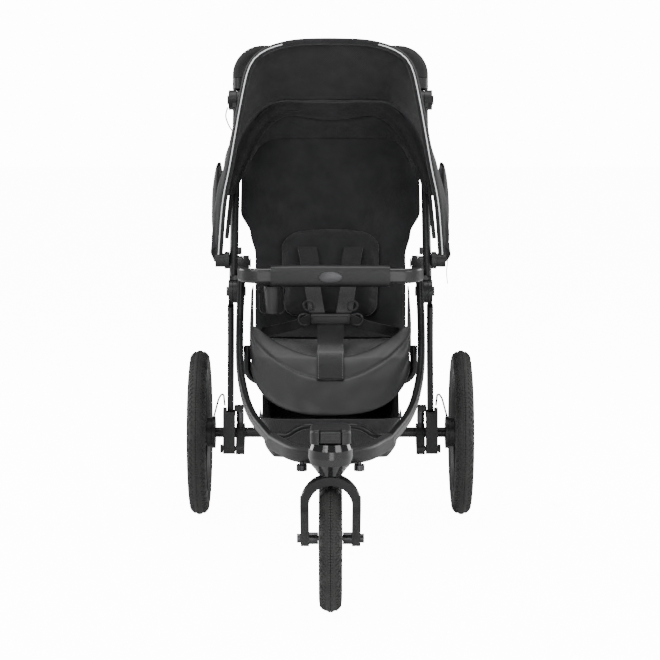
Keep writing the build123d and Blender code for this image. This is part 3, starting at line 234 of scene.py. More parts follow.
def treaded_tyre(name, centre, outer_r, half_width, pitches):
    """A torus whose crown faces are inset and raised into ribs and staggered blocks."""
    section = half_width
    rows = 28
    bpy.ops.object.select_all(action="DESELECT")
    bpy.ops.mesh.primitive_torus_add(
        major_radius=outer_r - TREAD_DEPTH - section,
        minor_radius=section,
        major_segments=pitches,
        minor_segments=rows,
        location=centre,
        rotation=(0, pi / 2, 0),
    )
    tyre = settle(add_piece(name))
    bpy.ops.object.mode_set(mode="EDIT")
    bpy.ops.mesh.select_mode(type="FACE")
    bpy.ops.mesh.select_all(action="DESELECT")
    bpy.ops.object.mode_set(mode="OBJECT")
    hub = Vector(centre)
    for face in tyre.data.polygons:
        spot = face.center - hub
        reach = sqrt(spot.y ** 2 + spot.z ** 2)
        climb = reach - (outer_r - TREAD_DEPTH - section)
        lean = abs(atan2(spot.x, climb))
        step = int(round((atan2(spot.z, spot.y) + pi) / (2 * pi) * pitches))
        rib = lean < 0.30
        block = 0.34 < lean < 0.92 and (step + (1 if lean > 0.62 else 0)) % 2 == 0
        lug = 0.92 <= lean < 1.2 and step % 4 < 2
        face.select = climb > 0 and (rib or block or lug)
    bpy.ops.object.mode_set(mode="EDIT")
    bpy.ops.mesh.inset(thickness=0.00045, use_individual=True)
    bpy.ops.transform.shrink_fatten(value=TREAD_DEPTH)
    bpy.ops.object.mode_set(mode="OBJECT")
    smooth(tyre, 35)
    tyre.data.materials.append(rubber)
    return tyre


def middle(name):
    low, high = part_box(name)
    return tuple((a + b) / 2 for a, b in zip(low, high))


for side in ("left", "right"):
    node = "rear_tyre_" + side
    low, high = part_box(node)
    tyre_r, tyre_half = (high[2] - low[2]) / 2, (high[0] - low[0]) / 2
    tyre = treaded_tyre("rear_tread_" + side, middle(node), tyre_r, tyre_half, 200)
    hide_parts(node)
    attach(tyre, "rear_wheel_" + side)
low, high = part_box("front_tyre")
tyre_r, tyre_half = (high[2] - low[2]) / 2, (high[0] - low[0]) / 2
front_tread = treaded_tyre("front_tread", middle("front_tyre"), tyre_r, tyre_half, 160)
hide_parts("front_tyre")
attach(front_tread, "front_wheel")

# ---- Canopy -------------------------------------------------------------------------
# One curved hood of charcoal woven polyester. A sleeve along its front edge holds the
# front bow, pale reflective piping is sewn into that edge, and the back edge wraps the
# rear bow. The sides run down to the hubs and bulge a little over the frame.
def woven(name, dark, light, pitch, depth, rough=0.9, slub=26.0, sheen=0.15):
    """Plain weave: two crossing sets of threads, with slow fading over the cloth."""
    made, made_nodes, links, shader = material(name, rough)
    shader.inputs["Sheen Weight"].default_value = sheen
    shader.inputs["Sheen Roughness"].default_value = 0.5
    place = made_nodes.new("ShaderNodeTexCoord")
    heights = []
    for thread_run in ((0.40, 0.80, 0.45), (-0.70, -0.12, 0.70)):
        along_run = made_nodes.new("ShaderNodeVectorMath")
        along_run.operation = "DOT_PRODUCT"
        along_run.inputs[1].default_value = thread_run
        laid = made_nodes.new("ShaderNodeCombineXYZ")
        threads = made_nodes.new("ShaderNodeTexWave")
        threads.bands_direction = "X"
        threads.inputs["Scale"].default_value = 0.314 / pitch
        links.new(place.outputs["Object"], along_run.inputs[0])
        links.new(along_run.outputs["Value"], laid.inputs["X"])
        links.new(laid.outputs["Vector"], threads.inputs["Vector"])
        heights.append(threads.outputs["Fac"])
    cross = made_nodes.new("ShaderNodeMath")
    cross.operation = "MULTIPLY"
    links.new(heights[0], cross.inputs[0])
    links.new(heights[1], cross.inputs[1])
    fade = made_nodes.new("ShaderNodeTexNoise")
    fade.inputs["Scale"].default_value = slub
    fade.inputs["Detail"].default_value = 8
    links.new(place.outputs["Object"], fade.inputs["Vector"])
    mix = made_nodes.new("ShaderNodeMath")
    mix.operation = "MULTIPLY_ADD"
    mix.inputs[1].default_value = 0.5
    links.new(cross.outputs[0], mix.inputs[0])
    links.new(fade.outputs["Fac"], mix.inputs[2])
    colour = made_nodes.new("ShaderNodeValToRGB")
    colour.color_ramp.elements[0].position = 0.35
    colour.color_ramp.elements[0].color = (*dark, 1)
    colour.color_ramp.elements[1].position = 0.95
    colour.color_ramp.elements[1].color = (*light, 1)
    links.new(mix.outputs[0], colour.inputs["Fac"])
    links.new(colour.outputs["Color"], shader.inputs["Base Color"])
    bump = made_nodes.new("ShaderNodeBump")
    bump.inputs["Strength"].default_value = 0.6
    bump.inputs["Distance"].default_value = depth
    links.new(cross.outputs[0], bump.inputs["Height"])
    links.new(bump.outputs["Normal"], shader.inputs["Normal"])
    return made


charcoal = woven("charcoal_weave", (0.004, 0.004, 0.0045), (0.017, 0.017, 0.019), 0.0016, 0.0005)
piping_paint_glow, _, _, piping_shader = material("reflective_piping", 0.45)
piping_shader.inputs["Base Color"].default_value = (0.75, 0.76, 0.77, 1)
# The pale piping is given a faint painted glow by emission, standing in for the light its reflective tape catches.
piping_shader.inputs["Emission Color"].default_value = (0.75, 0.76, 0.77, 1)
piping_shader.inputs["Emission Strength"].default_value = 0.25


def curve_through(points, count):
    """That many points evenly spread along a smooth curve through the given ones."""
    points = [Vector(p) for p in points]
    ends = [points[0] * 2 - points[1]] + points + [points[-1] * 2 - points[-2]]
    fine = []
    for a, b, c, d in zip(ends, ends[1:], ends[2:], ends[3:]):
        for n in range(12):
            t = n / 12
            fine.append(
                0.5 * (2 * b + (c - a) * t + (2 * a - 5 * b + 4 * c - d) * t * t + (3 * b - a - 3 * c + d) * t ** 3)
            )
    fine.append(points[-1])
    reach = [0.0]
    for a, b in zip(fine, fine[1:]):
        reach.append(reach[-1] + (b - a).length)
    spread = []
    at = 0
    for n in range(count):
        want = reach[-1] * n / (count - 1)
        while at < len(fine) - 2 and reach[at + 1] < want:
            at += 1
        share = (want - reach[at]) / max(reach[at + 1] - reach[at], 1e-9)
        spread.append(fine[at].lerp(fine[at + 1], min(max(share, 0), 1)))
    return spread


def cloth_grid(name, rows, thickness=0.0, subdivide=1, offset=0.0):
    """A sheet laid through rows of points, given its thickness and smoothed."""
    across = len(rows[0]) - 1
    down = len(rows) - 1
    bpy.ops.object.select_all(action="DESELECT")
    bpy.ops.mesh.primitive_grid_add(x_subdivisions=across, y_subdivisions=down, size=1)
    piece = add_piece(name)
    for vertex, place in zip(piece.data.vertices, [p for row in rows for p in row]):
        vertex.co = place
    if subdivide:
        soften = piece.modifiers.new("soften", "SUBSURF")
        soften.levels = soften.render_levels = subdivide
    if thickness:
        wall = piece.modifiers.new("wall", "SOLIDIFY")
        wall.thickness = thickness
        wall.offset = offset
    apply_modifiers(piece)
    smooth(piece, 60)
    return piece


def beside_frame(x, up, ahead):
    """A point beside the upper tube: across, up along it, and in front of it."""
    return Vector((x, 0.23125 + up * 0.6125 - ahead * 0.7905, 0.548 + up * 0.7905 + ahead * 0.6125))


def mirrored(half):
    """A left-to-right run of points from its right half, whose last point is near the middle."""
    return [Vector((-x, y, z)) for x, y, z in half] + [Vector(p) for p in reversed(half)]


BOW_Y = 0.2815
COLUMNS = 73
bow_half = []
for x, z in (
    (0.262, 0.609),
    (0.2505, 0.745),
    (0.2325, 0.836),
    (0.2055, 0.984),
    (0.185, 1.064),
    (0.151, 1.0985),
    (0.093, 1.1165),
    (0.032, 1.1208),
):
    bow_half.append((x, BOW_Y + (z - 0.6128) * 0.0374, z))
bow_line = curve_through(mirrored(bow_half), COLUMNS)
rear_half = [
    beside_frame(0.252, 0.112, 0.030),
    beside_frame(0.249, 0.200, 0.036),
    beside_frame(0.240, 0.290, 0.040),
    beside_frame(0.222, 0.365, 0.046),
    beside_frame(0.200, 0.420, 0.052),
    beside_frame(0.168, 0.462, 0.056),
    beside_frame(0.127, 0.488, 0.0575),
    beside_frame(0.040, 0.490, 0.0575),
]
rear_line = curve_through(mirrored(rear_half), COLUMNS)


def bow_out(index):
    """The way out from the bow at one of its points, in the bow's plane."""
    a = bow_line[max(index - 1, 0)]
    b = bow_line[min(index + 1, COLUMNS - 1)]
    run = (b - a).normalized()
    return Vector((-run.z, 0, run.x)).normalized()


hood_rows = []
for out, back in ((-0.008, 0.010), (-0.0085, -0.001), (-0.004, -0.0085), (0.003, -0.0088), (0.0082, -0.003)):
    hood_rows.append([p + bow_out(n) * out + Vector((0, back, 0)) for n, p in enumerate(bow_line)])
HOOD_ROWS = 15
for step in range(1, HOOD_ROWS + 1):
    share = step / HOOD_ROWS
    row = []
    for n, (front, rear) in enumerate(zip(bow_line, rear_line)):
        u = n / (COLUMNS - 1)
        roof = max(0.0, sin(pi * u)) ** 2
        out = bow_out(n)
        spot = front.lerp(rear, share)
        side = 1 - roof
        bulge = sin(pi * share) * (0.017 * side - 0.010 * roof)
        gather = noise.noise(Vector((u * 34, share * 3.0, 1.7))) * 0.004 * sin(pi * share) ** 0.5
        pucker = noise.noise(Vector((u * 60, 0.3, 5.0))) * 0.0035 * max(0, 1 - share * 4)
        lift = 0.0085 * (1 - share) + bulge + gather + pucker
        row.append(spot + out * lift)
    hood_rows.append(row)
hood = cloth_grid("canopy_hood", hood_rows, 0.0022, 1)
hood.data.materials.append(charcoal)
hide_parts("canopy_fabric")
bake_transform(hood)


def round_cord(name, points, radius, sides=3):
    """A thin round cord swept along a smooth line."""
    line = bpy.data.curves.new(name, "CURVE")
    line.dimensions = "3D"
    line.bevel_depth = radius
    line.bevel_resolution = sides
    line.use_fill_caps = True
    spline = line.splines.new("POLY")
    spline.points.add(len(points) - 1)
    for knot, place in zip(spline.points, points):
        knot.co = (*place, 1)
    held = bpy.data.objects.new(name, line)
    bpy.context.collection.objects.link(held)
    bpy.ops.object.select_all(action="DESELECT")
    held.select_set(True)
    bpy.context.view_layer.objects.active = held
    bpy.ops.object.convert(target="MESH")
    piece = add_piece(name)
    smooth(piece, 60)
    return piece


def joined(name, parts):
    """Several finished meshes as one piece."""
    bpy.ops.object.select_all(action="DESELECT")
    for part in parts:
        part.select_set(True)
    bpy.context.view_layer.objects.active = parts[0]
    if len(parts) > 1:
        bpy.ops.object.join()
    return add_piece(name)


edge_line = [p + bow_out(n) * 0.0005 + Vector((0, -0.0105, 0)) for n, p in enumerate(bow_line)]
PIPING_TOP_GAP = 0.095
left_edge = [p for p in edge_line[1:-1] if p.x < -PIPING_TOP_GAP]
right_edge = [p for p in edge_line[1:-1] if p.x > PIPING_TOP_GAP]
piping = joined("canopy_piping", [round_cord("edge_piping", run, 0.0014) for run in (left_edge, right_edge)])
piping.data.materials.append(piping_paint_glow)
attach(piping, "canopy_front")

# ---- Rear drape ---------------------------------------------------------------------
# A loose panel of the same cloth, sewn to the rear bow and to the top of the seat back,
# so it hangs in shallow folds between them.
drape_top = [beside_frame(x, up, ahead) for x, up, ahead in (
    (0.214, 0.395, 0.040), (0.185, 0.444, 0.044), (0.140, 0.480, 0.046), (0.040, 0.486, 0.046))]
drape_low = [(0.186, 0.490, 0.812), (0.165, 0.500, 0.852), (0.120, 0.506, 0.869), (0.040, 0.508, 0.871)]
top_line = curve_through(mirrored(drape_top), 49)
low_line = curve_through(mirrored(drape_low), 49)
drape_rows = []
for step in range(9):
    share = step / 8
    row = []
    for n, (high, low) in enumerate(zip(top_line, low_line)):
        u = n / 48
        fold = noise.noise(Vector((u * 9, share * 1.2, 3.1))) * 0.007 * sin(pi * share)
        droop = -0.016 * sin(pi * share) ** 1.0
        row.append(high.lerp(low, share) + Vector((0, droop + fold, 0)))
    drape_rows.append(row)
drape = cloth_grid("rear_drape_cloth", drape_rows, 0.0016, 1)
drape.data.materials.append(charcoal)
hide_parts("rear_drape")
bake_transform(drape)

# ---- Rear bow sleeve ----------------------------------------------------------------
# The hood's own cloth, turned down inside the rear bow and gathered into a soft roll, so
# it closes the gap between the hood and the seat back.
SLEEVE_INSET = 8
middle_of_bow = Vector((0, 0.43, 0.80))
sleeve_rows = []
for step in range(13):
    share = step / 12
    row = []
    for n, spot in list(enumerate(rear_line))[SLEEVE_INSET:-SLEEVE_INSET]:
        u = n / (COLUMNS - 1)
        inward = (middle_of_bow - spot).normalized()
        drop = 0.052 * sin(pi * u) ** 0.6
        fold = 0.007 * sin(pi * share * 3) + noise.noise(Vector((u * 26, share * 3, 8.0))) * 0.003
        row.append(spot - inward * 0.009 * (1 - share) + inward * drop * share + Vector((0, 0.004 + fold, 0)))
    sleeve_rows.append(row)
bow_sleeve = cloth_grid("rear_bow_sleeve", sleeve_rows, 0.002, 1)
bow_sleeve.data.materials.append(charcoal)
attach(bow_sleeve, "upper_frame")

# ---- Seat back ----------------------------------------------------------------------
# A sling of the charcoal cloth over a bent tube. It is pulled wide at the shoulders and
# narrow at the hips, so folds run from its upper corners down to the padded insert.
LEAN = radians(27.4)


def on_back(x, up, lift):
    """A point on the seat back: across, up along it from the crease, and off its front."""
    return Vector((x, 0.28125 + sin(LEAN) * up - cos(LEAN) * lift, 0.430 + cos(LEAN) * up + sin(LEAN) * lift))


def back_half_width(up):
    steps = (
        (0.0, 0.1765),
        (0.20, 0.1775),
        (0.255, 0.190),
        (0.31, 0.214),
        (0.415, 0.213),
        (0.46, 0.206),
        (0.49, 0.196),
    )
    for (a, wa), (b, wb) in zip(steps, steps[1:]):
        if up <= b:
            share = (up - a) / (b - a)
            share = share * share * (3 - 2 * share)
            return wa + (wb - wa) * max(share, 0)
    return steps[-1][1]


# Each fold: its place at the foot and at the head, its width and its depth.
BACK_FOLDS = (
    (0.072, 0.165, 0.016, 0.0065),
    (0.112, 0.19, 0.013, 0.0055),
    (0.04, 0.10, 0.02, 0.003),
)
back_rows = []
for step in range(57):
    up = -0.010 + 0.502 * step / 56
    row = []
    for n in range(57):
        u = -1 + 2 * n / 56
        x = u * back_half_width(up)
        rim_fall = 0.007 * abs(u) ** 8
        hollow = 0.012 * (1 - u * u) * sin(pi * min(1, up / 0.49))
        folds = 0.0
        for foot, head, wide, deep in BACK_FOLDS:
            share = min(max((up - 0.22) / 0.22, 0), 1)
            ridge = foot + (head - foot) * share
            folds += deep * 2.718 ** (-(((abs(x) - ridge) / wide) ** 2)) * sin(pi * min(max((up - 0.2) / 0.26, 0), 1))
        soft = noise.noise(Vector((x * 14, up * 5, 0.4))) * 0.0028
        tuck = 0.020 * max(0, 1 - (up + 0.010) / 0.030)
        row.append(on_back(x, up, 0.0105 - rim_fall - hollow * 0.35 + folds + soft + tuck))
    back_rows.append(row)
sling = cloth_grid("seat_back_sling", back_rows, 0.0026, 1)
sling.data.materials.append(charcoal)
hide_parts("seat_back_panel")
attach(sling, "seat_back")

# ---- Seat cushion -------------------------------------------------------------------
# A foam-filled pad in the charcoal cloth, sewn round its edge. It lies on the seat sling
# and swells a little, most at the middle.
leatherette = mottled("coated_fabric", (0.006, 0.006, 0.0065), (0.012, 0.012, 0.0135), 0.44, 0.56, 1300, 0.00012)
webbing = woven("black_webbing", (0.004, 0.004, 0.0045), (0.015, 0.015, 0.016), 0.0011, 0.0004, 0.8)
thread = mottled("grey_thread", (0.10, 0.10, 0.105), (0.17, 0.17, 0.175), 0.7, 0.85, 2000, 0.0001)


def swollen(piece, voxel, cap, pressure=4.0):
    """Blows a pad up as sewn cloth over foam, then softens it."""
    piece.data.remesh_voxel_size = voxel
    bpy.ops.object.select_all(action="DESELECT")
    piece.select_set(True)
    bpy.context.view_layer.objects.active = piece
    bpy.ops.object.voxel_remesh()
    start = [v.co.copy() for v in piece.data.vertices]
    cloth = piece.modifiers.new("cloth", "CLOTH")
    cloth.settings.use_pressure = True
    cloth.settings.uniform_pressure_force = pressure
    cloth.settings.effector_weights.gravity = 0
    cloth.settings.quality = 5
    for tick in range(1, 21):
        bpy.context.scene.frame_set(tick)
    bpy.ops.object.modifier_apply(modifier="cloth")
    for vertex, was in zip(piece.data.vertices, start):
        moved = vertex.co - was
        if moved.length > cap:
            vertex.co = was + moved.normalized() * cap
    bpy.context.scene.frame_set(1)
    soften = piece.modifiers.new("soften", "SUBSURF")
    soften.levels = soften.render_levels = 1
    apply_modifiers(piece)
    smooth(piece, 60)


def rounded_block(name, low, high, edge):
    """A block between two corners with its edges rolled over."""
    low, high = Vector(low), Vector(high)
    bpy.ops.object.select_all(action="DESELECT")
    bpy.ops.mesh.primitive_cube_add(size=1, location=(low + high) / 2)
    piece = add_piece(name)
    piece.scale = high - low
    settle(piece)
    roll = piece.modifiers.new("roll", "BEVEL")
    roll.width = edge
    roll.segments = 4
    apply_modifiers(piece)
    return piece


cushion_low, cushion_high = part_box("seat_cushion")
cushion = rounded_block(
    "seat_pad",
    (cushion_low[0] + 0.005, cushion_low[1] + 0.005, cushion_low[2] + 0.004),
    (cushion_high[0] - 0.005, cushion_high[1] - 0.005, cushion_high[2] - 0.006),
    0.009,
)
cushion_front, cushion_rear = cushion_low[1], cushion_high[1]
for vertex in cushion.data.vertices:
    back = (vertex.co.y - cushion_front) / (cushion_rear - cushion_front)
    vertex.co.z -= 0.006 * back
swollen(cushion, 0.005, 0.006)
for vertex in cushion.data.vertices:
    x, y, z = vertex.co
    if z > 0.425:
        dish = 1 - min(1, abs(x) / 0.17) ** 2
        vertex.co.z -= 0.004 * dish * max(0, min(1, (y - cushion_front - 0.03) / 0.06))
cushion.data.materials.clear()
cushion.data.materials.append(charcoal)
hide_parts("seat_cushion")
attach(cushion, "front_frame")

# ---- Calf flap ----------------------------------------------------------------------
# A thin padded apron of coated fabric, round at the foot, whose upper corners run up the
# sides as ears. Two curved seams cross it, and it hangs from the seat's front edge.
FLAP_HALF = 0.174
FLAP_FOOT_Z = 0.336
LIP_Y, LIP_Z = -0.032, 0.440


def flap_top(u):
    return LIP_Z + 0.058 * abs(u) ** 2.1


def flap_foot(u):
    return flap_top(1) - 0.052 - (flap_top(1) - 0.052 - FLAP_FOOT_Z) * (1 - abs(u) ** 2.7) ** (1 / 2.2)


def flap_seam(u):
    return LIP_Z - 0.042 + 0.078 * abs(u) ** 2.0


def flap_point(u, z, lift=0.0):
    """A point on the flap's face: across as a share of its half width, and up."""
    if z < LIP_Z:
        y = LIP_Y - (LIP_Z - z) * 0.866 + 0.004
    else:
        y = LIP_Y + (z - LIP_Z) * 1.36 + 0.004
    belly = sin(pi * min(1, max(0, (z - FLAP_FOOT_Z) / 0.17))) * (1 - u * u) * 0.006
    return Vector((u * FLAP_HALF, y - belly - lift * 0.77, z + lift * 0.64))


flap_rows = []
for step in range(81):
    share = step / 80
    row = []
    for n in range(109):
        u = -1 + 2 * n / 108
        z = flap_top(u) + (flap_foot(u) - flap_top(u)) * share
        plump = 0.005 * sin(pi * share) ** 0.5 * (1 - abs(u) ** 8)
        plump -= 0.0026 * 2.718 ** (-(((z - flap_seam(u)) / 0.0026) ** 2))
        plump += noise.noise(Vector((u * 5, share * 4, 2.2))) * 0.0016
        row.append(flap_point(u, z, plump))
    flap_rows.append(row)
flap = cloth_grid("calf_apron", flap_rows, 0.007, 1, -1.0)
flap.data.materials.append(leatherette)
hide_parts("calf_flap")
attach(flap, "front_frame")
flap_edge = [flap_point(-1 + 2 * n / 80, flap_top(-1 + 2 * n / 80), 0.002) for n in range(81)]
flap_foot_edge = [flap_point(u, flap_foot(u), 0.001) for u in [-1 + 2 * n / 80 for n in range(81)]]
welts = joined(
    "apron_welts",
    [round_cord("lip_welt", flap_edge, 0.0022), round_cord("foot_welt", flap_foot_edge, 0.0020)],
)
welts.data.materials.append(leatherette)
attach(welts, "front_frame")

# ---- Straps and buckle --------------------------------------------------------------
# Polyester webbing, woven flat and stitched. One band comes up over the front lip between
# the legs, two lap straps and two shoulder straps meet it at a framed moulded buckle.


def ribbon(name, points, width, thickness, across=(1, 0, 0), count=28):
    """A flat strap laid along points, as wide as webbing is."""
    across = Vector(across).normalized()
    rows = []
    for spot in curve_through(points, count):
        rows.append([spot + across * width * (n / 6 - 0.5) for n in range(7)])
    return cloth_grid(name, rows, thickness, 1)


def stitches(name, points, count, radius=0.0006):
    """A run of short thread stitches."""
    line = curve_through(points, count * 2)
    return joined(name, [round_cord(name, [line[2 * n], line[2 * n + 1]], radius, 1) for n in range(count)])


band_points = [flap_point(0, z, 0.0150) for z in (0.399, 0.415, 0.430)]
band_points += [Vector((0, -0.026, 0.4535)), Vector((0, 0.03, 0.4475)), Vector((0, 0.085, 0.450))]
band_points += [Vector((0, 0.104, 0.468)), Vector((0, 0.108, 0.497))]
crotch = ribbon("crotch_strap", band_points, 0.060, 0.0022, count=40)
laps = []
for side in (-1, 1):
    lap_points = [
        (side * 0.046, 0.114, 0.505),
        (side * 0.075, 0.130, 0.490),
        (side * 0.110, 0.165, 0.474),
        (side * 0.160, 0.235, 0.450),
    ]
    laps.append(ribbon("lap_strap", lap_points, 0.026, 0.0022, (0, -0.35, 1)))
lower_straps = joined("lower_straps", [crotch] + laps)
lower_straps.data.materials.append(webbing)
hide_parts("seat_straps")
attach(lower_straps, "front_frame")
seams = []
for side in (-1, 1):
    beside = Vector((side * 0.0265, -0.0012, 0.0012))
    seams.append(stitches("band_stitch", [p + beside for p in band_points[:6]], 30))
seams = joined("band_stitching", seams)
seams.data.materials.append(thread)
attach(seams, "front_frame")

uppers = []
for side in (-1, 1):
    upper_points = [
        on_back(side * 0.058, 0.214, 0.024),
        on_back(side * 0.055, 0.207, 0.036),
        on_back(side * 0.050, 0.178, 0.046),
        on_back(side * 0.046, 0.140, 0.052),
        Vector((side * 0.034, 0.145, 0.530)),
        Vector((side * 0.030, 0.115, 0.519)),
    ]
    uppers.append(ribbon("shoulder_strap", upper_points, 0.036, 0.0024))
    sleeve = [p + Vector((0, -0.003, 0.002)) for p in upper_points[1:4]]
    uppers.append(ribbon("shoulder_pad", sleeve, 0.044, 0.009))
shoulders = joined("shoulder_harness", uppers)
shoulders.data.materials.append(webbing)
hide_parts("shoulder_straps")
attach(shoulders, "seat_back")
buckle_low, buckle_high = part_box("harness_buckle")
buckle = rounded_block("buckle_body", buckle_low, buckle_high, 0.004)
mouldings = [buckle]
for side in (-1, 1):
    for place, size in (((side * 0.050, 0.122, 0.534), 0.011), ((side * 0.060, 0.122, 0.502), 0.013)):
        bpy.ops.object.select_all(action="DESELECT")
        bpy.ops.mesh.primitive_torus_add(
            location=place,
            rotation=(pi / 2, 0, 0),
            major_radius=size,
            minor_radius=0.0028,
            major_segments=36,
            minor_segments=12,
        )
        mouldings.append(settle(add_piece("strap_ring")))
bpy.ops.object.select_all(action="DESELECT")
frame_run = [
    (-0.041, 0.1015, 0.498),
    (0.041, 0.1015, 0.498),
    (0.041, 0.1015, 0.514),
    (-0.041, 0.1015, 0.514),
    (-0.041, 0.1015, 0.498),
]
mouldings.append(round_cord("buckle_frame", [Vector(p) for p in frame_run], 0.0016))
fastening = joined("harness_fastening", mouldings)
smooth(fastening, 40)
fastening.data.materials.clear()
fastening.data.materials.append(nylon)
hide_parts("harness_buckle")
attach(fastening, "front_frame")

# ---- Seat sides ---------------------------------------------------------------------
# A panel of the same cloth each side of the cushion, sewn to its edge and drawn up to
# the frame, with a slack belly between.
wings = []
for side in (-1, 1):
    rows = []
    for step in range(21):
        share = step / 20
        row = []
        for n in range(31):
            along_seat = n / 30
            y = 0.046 + (0.262 - 0.046) * along_seat
            top = 0.462 + 0.094 * min(1, max(0, (y - 0.05) / 0.12)) ** 0.7
            z = 0.428 + (top - 0.428) * share
            belly = 0.0025 * sin(pi * share) * sin(pi * along_seat)
            belly += noise.noise(Vector((y * 22, z * 22, side))) * 0.0012
            row.append(Vector((side * (0.1805 + belly), y, z)))
        rows.append(row)
    wings.append(cloth_grid("side_panel", rows, 0.0022, 1))
side_panels = joined("seat_side_panels", wings)
side_panels.data.materials.append(charcoal)
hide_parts("seat_side_wings")
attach(side_panels, "front_frame")

# ---- Head and back insert -----------------------------------------------------------
# A soft padded insert with an arched top, sewn to the front of the seat back.
INSERT_HALF, INSERT_FOOT, INSERT_TOP = 0.119, 0.040, 0.264
insert = rounded_block("back_insert", (-1, -1, -1), (1, 1, 1), 0.3)
bpy.ops.object.select_all(action="DESELECT")
insert.select_set(True)
bpy.context.view_layer.objects.active = insert
insert.data.remesh_voxel_size = 0.06
bpy.ops.object.voxel_remesh()
for vertex in insert.data.vertices:
    a, b, c = vertex.co
    arch = 1 - 0.20 * abs(a) ** 3 * max(0, b)
    up = INSERT_FOOT + (INSERT_TOP - INSERT_FOOT) * (b * arch + 1) / 2
    vertex.co = on_back(a * INSERT_HALF * (1 - 0.06 * max(0, -b)), up, 0.0195 + c * 0.0075)
swollen(insert, 0.005, 0.005)
insert.data.materials.clear()
insert.data.materials.append(charcoal)
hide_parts("seat_back_pad")
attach(insert, "seat_back")

# ---- Bar pad ------------------------------------------------------------------------
# A foam sleeve in coated fabric, wrapped round the middle of the bar.
# A small plain oval plate is fixed to its front.
sleeve_low, sleeve_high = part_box("bar_pad")
sleeve_mid = [(a + b) / 2 for a, b in zip(sleeve_low, sleeve_high)]
rows = []
for step in range(49):
    share = step / 48
    x = sleeve_low[0] + (sleeve_high[0] - sleeve_low[0]) * share
    tuck = 1 - 0.05 * abs(2 * share - 1) ** 12
    row = []
    for n in range(41):
        turn = 2 * pi * n / 40
        c, s = cos(turn), sin(turn)
        y = sleeve_mid[1] + 0.0165 * tuck * (1 if c > 0 else -1) * abs(c) ** 0.62
        z = sleeve_mid[2] + 0.0235 * tuck * (1 if s > 0 else -1) * abs(s) ** 0.62
        row.append(Vector((x, y, z)) + Vector((0, 0, 1)) * noise.noise(Vector((x * 20, c, s))) * 0.0006)
    rows.append(row)
bar_cover = cloth_grid("bar_sleeve", rows, 0.0014, 1)
bar_cover.data.materials.append(leatherette)
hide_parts("bar_pad")
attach(bar_cover, "bumper_bar")
bpy.ops.object.select_all(action="DESELECT")
bpy.ops.mesh.primitive_cylinder_add(
    vertices=64,
    radius=1,
    depth=1,
    location=(0, sleeve_low[1] - 0.0008, sleeve_mid[2]),
    rotation=(pi / 2, 0, 0),
)
plate = add_piece("plain_plate")
plate.scale = (0.026, 0.0125, 0.0028)
settle(plate)
ease = plate.modifiers.new("ease", "BEVEL")
ease.width = 0.0008
ease.segments = 3
apply_modifiers(plate)
smooth(plate)
plate.data.materials.append(zinc)
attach(plate, "bumper_bar")

# ---- Storage basket -----------------------------------------------------------------
# One tray of the charcoal cloth, hung from the frame by its hem, so its floor sags and
# its sides lean in.
tray_low, tray_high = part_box("storage_basket")


def tray_rim(y):
    dip = min(1, abs(y + 0.075) / 0.09)
    return 0.312 + 0.044 * dip * dip if y < 0.02 else min(0.356, 0.312 + 0.044 * min(1, (y + 0.075) / 0.12) ** 2)


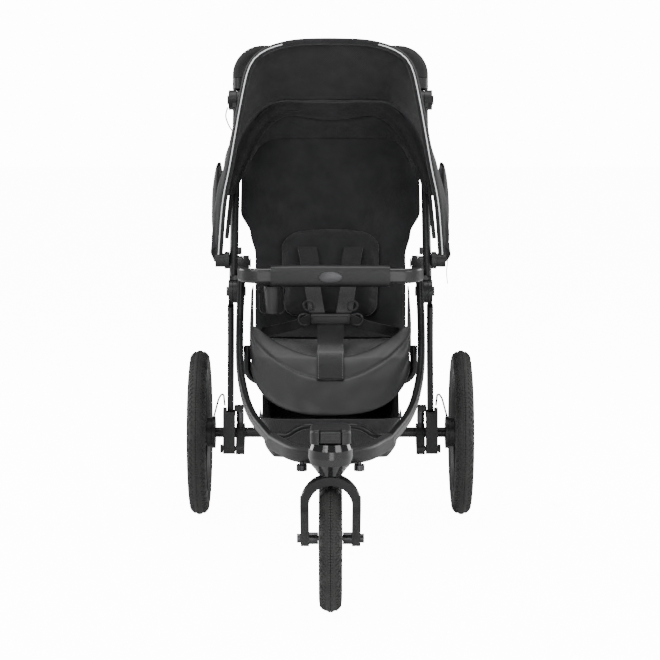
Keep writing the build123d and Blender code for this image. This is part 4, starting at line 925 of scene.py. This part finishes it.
tray_rows = []
for step in range(61):
    share = step / 60
    y = tray_low[1] + 0.003 + (tray_high[1] - tray_low[1] - 0.006) * share
    end = min(1, min(share, 1 - share) / 0.13)
    floor_z = 0.254 + 0.098 * (1 - end) ** 1.6
    row = []
    for n in range(41):
        u = -1 + 2 * n / 40
        wall = min(1, max(0, (abs(u) - 0.66) / 0.34))
        narrow = 0.74 + 0.26 * min(1, share / 0.3) ** 0.7
        foot_x = 0.142 * (narrow + (1 - narrow) * wall)
        x = (abs(u) / 0.66 if abs(u) < 0.66 else 1 + 0.07 * wall) * foot_x * (1 if u > 0 else -1)
        sag = 0.006 * (1 - min(1, abs(u) / 0.66) ** 2) * end
        z = floor_z - sag * 0.5 + (tray_rim(y) - floor_z) * wall ** 1.15 + 0.004
        ripple = noise.noise(Vector((y * 18, u * 3, 4.0))) * 0.002
        row.append(Vector((x + ripple * wall, y, max(z, tray_low[2] + 0.003))))
    tray_rows.append(row)
tray = cloth_grid("cloth_tray", tray_rows, 0.0022, 1)
tray.data.materials.append(charcoal)
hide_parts("storage_basket")
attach(tray, "front_frame")

# ---- Side pouches -------------------------------------------------------------------
# A slack cloth pouch outside each upper tube, gathered at its mouth, round at its foot.
for side, name in ((-1, "left"), (1, "right")):
    rows = []
    for step in range(33):
        share = step / 32
        up = 0.624 + (0.815 - 0.624) * share
        wide = 0.066 * (1 - 0.45 * (1 - share) ** 3) * (1 - 0.10 * share)
        deep = 0.0155 * (sin(pi * min(1, share * 0.86 + 0.10))) ** 0.6
        middle_y = 0.392 + (up - 0.624) * 0.32
        row = []
        for n in range(41):
            turn = 2 * pi * n / 40
            slack = 1 + 0.05 * noise.noise(Vector((cos(turn) * 2, sin(turn) * 2, share * 5 + side)))
            row.append(Vector((side * (0.2672 + deep * cos(turn) * slack), middle_y + wide * 0.96 * sin(turn), up)))
        rows.append(row)
    pouch = cloth_grid("pouch_" + name, rows, 0.0018, 1)
    pouch.data.materials.append(charcoal)
    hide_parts("side_pouch_" + name)
    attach(pouch, "upper_frame")

# ---- Tie cord -----------------------------------------------------------------------
# A short limp polyester cord that hangs from the right canopy hub, its end left bare.
hanging = bpy.data.curves.new("canopy_tie", "CURVE")
hanging.dimensions = "3D"
hanging.bevel_depth = 0.001
hanging.bevel_resolution = 3
hanging.use_fill_caps = True
run = hanging.splines.new("NURBS")
cord_route = (
    (0.272, 0.2935, 0.6428),
    (0.275, 0.2925, 0.6248),
    (0.274, 0.2935, 0.6028),
    (0.271, 0.2955, 0.5788),
    (0.275, 0.2945, 0.5548),
)
run.points.add(len(cord_route) - 1)
for knot, place in zip(run.points, cord_route):
    knot.co = (*place, 1)
run.order_u = 3
run.use_endpoint_u = True
tie = bpy.data.objects.new("canopy_tie", hanging)
bpy.context.collection.objects.link(tie)
tie.data.materials.append(thread)
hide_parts("tie_cord")
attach(tie, "upper_frame")
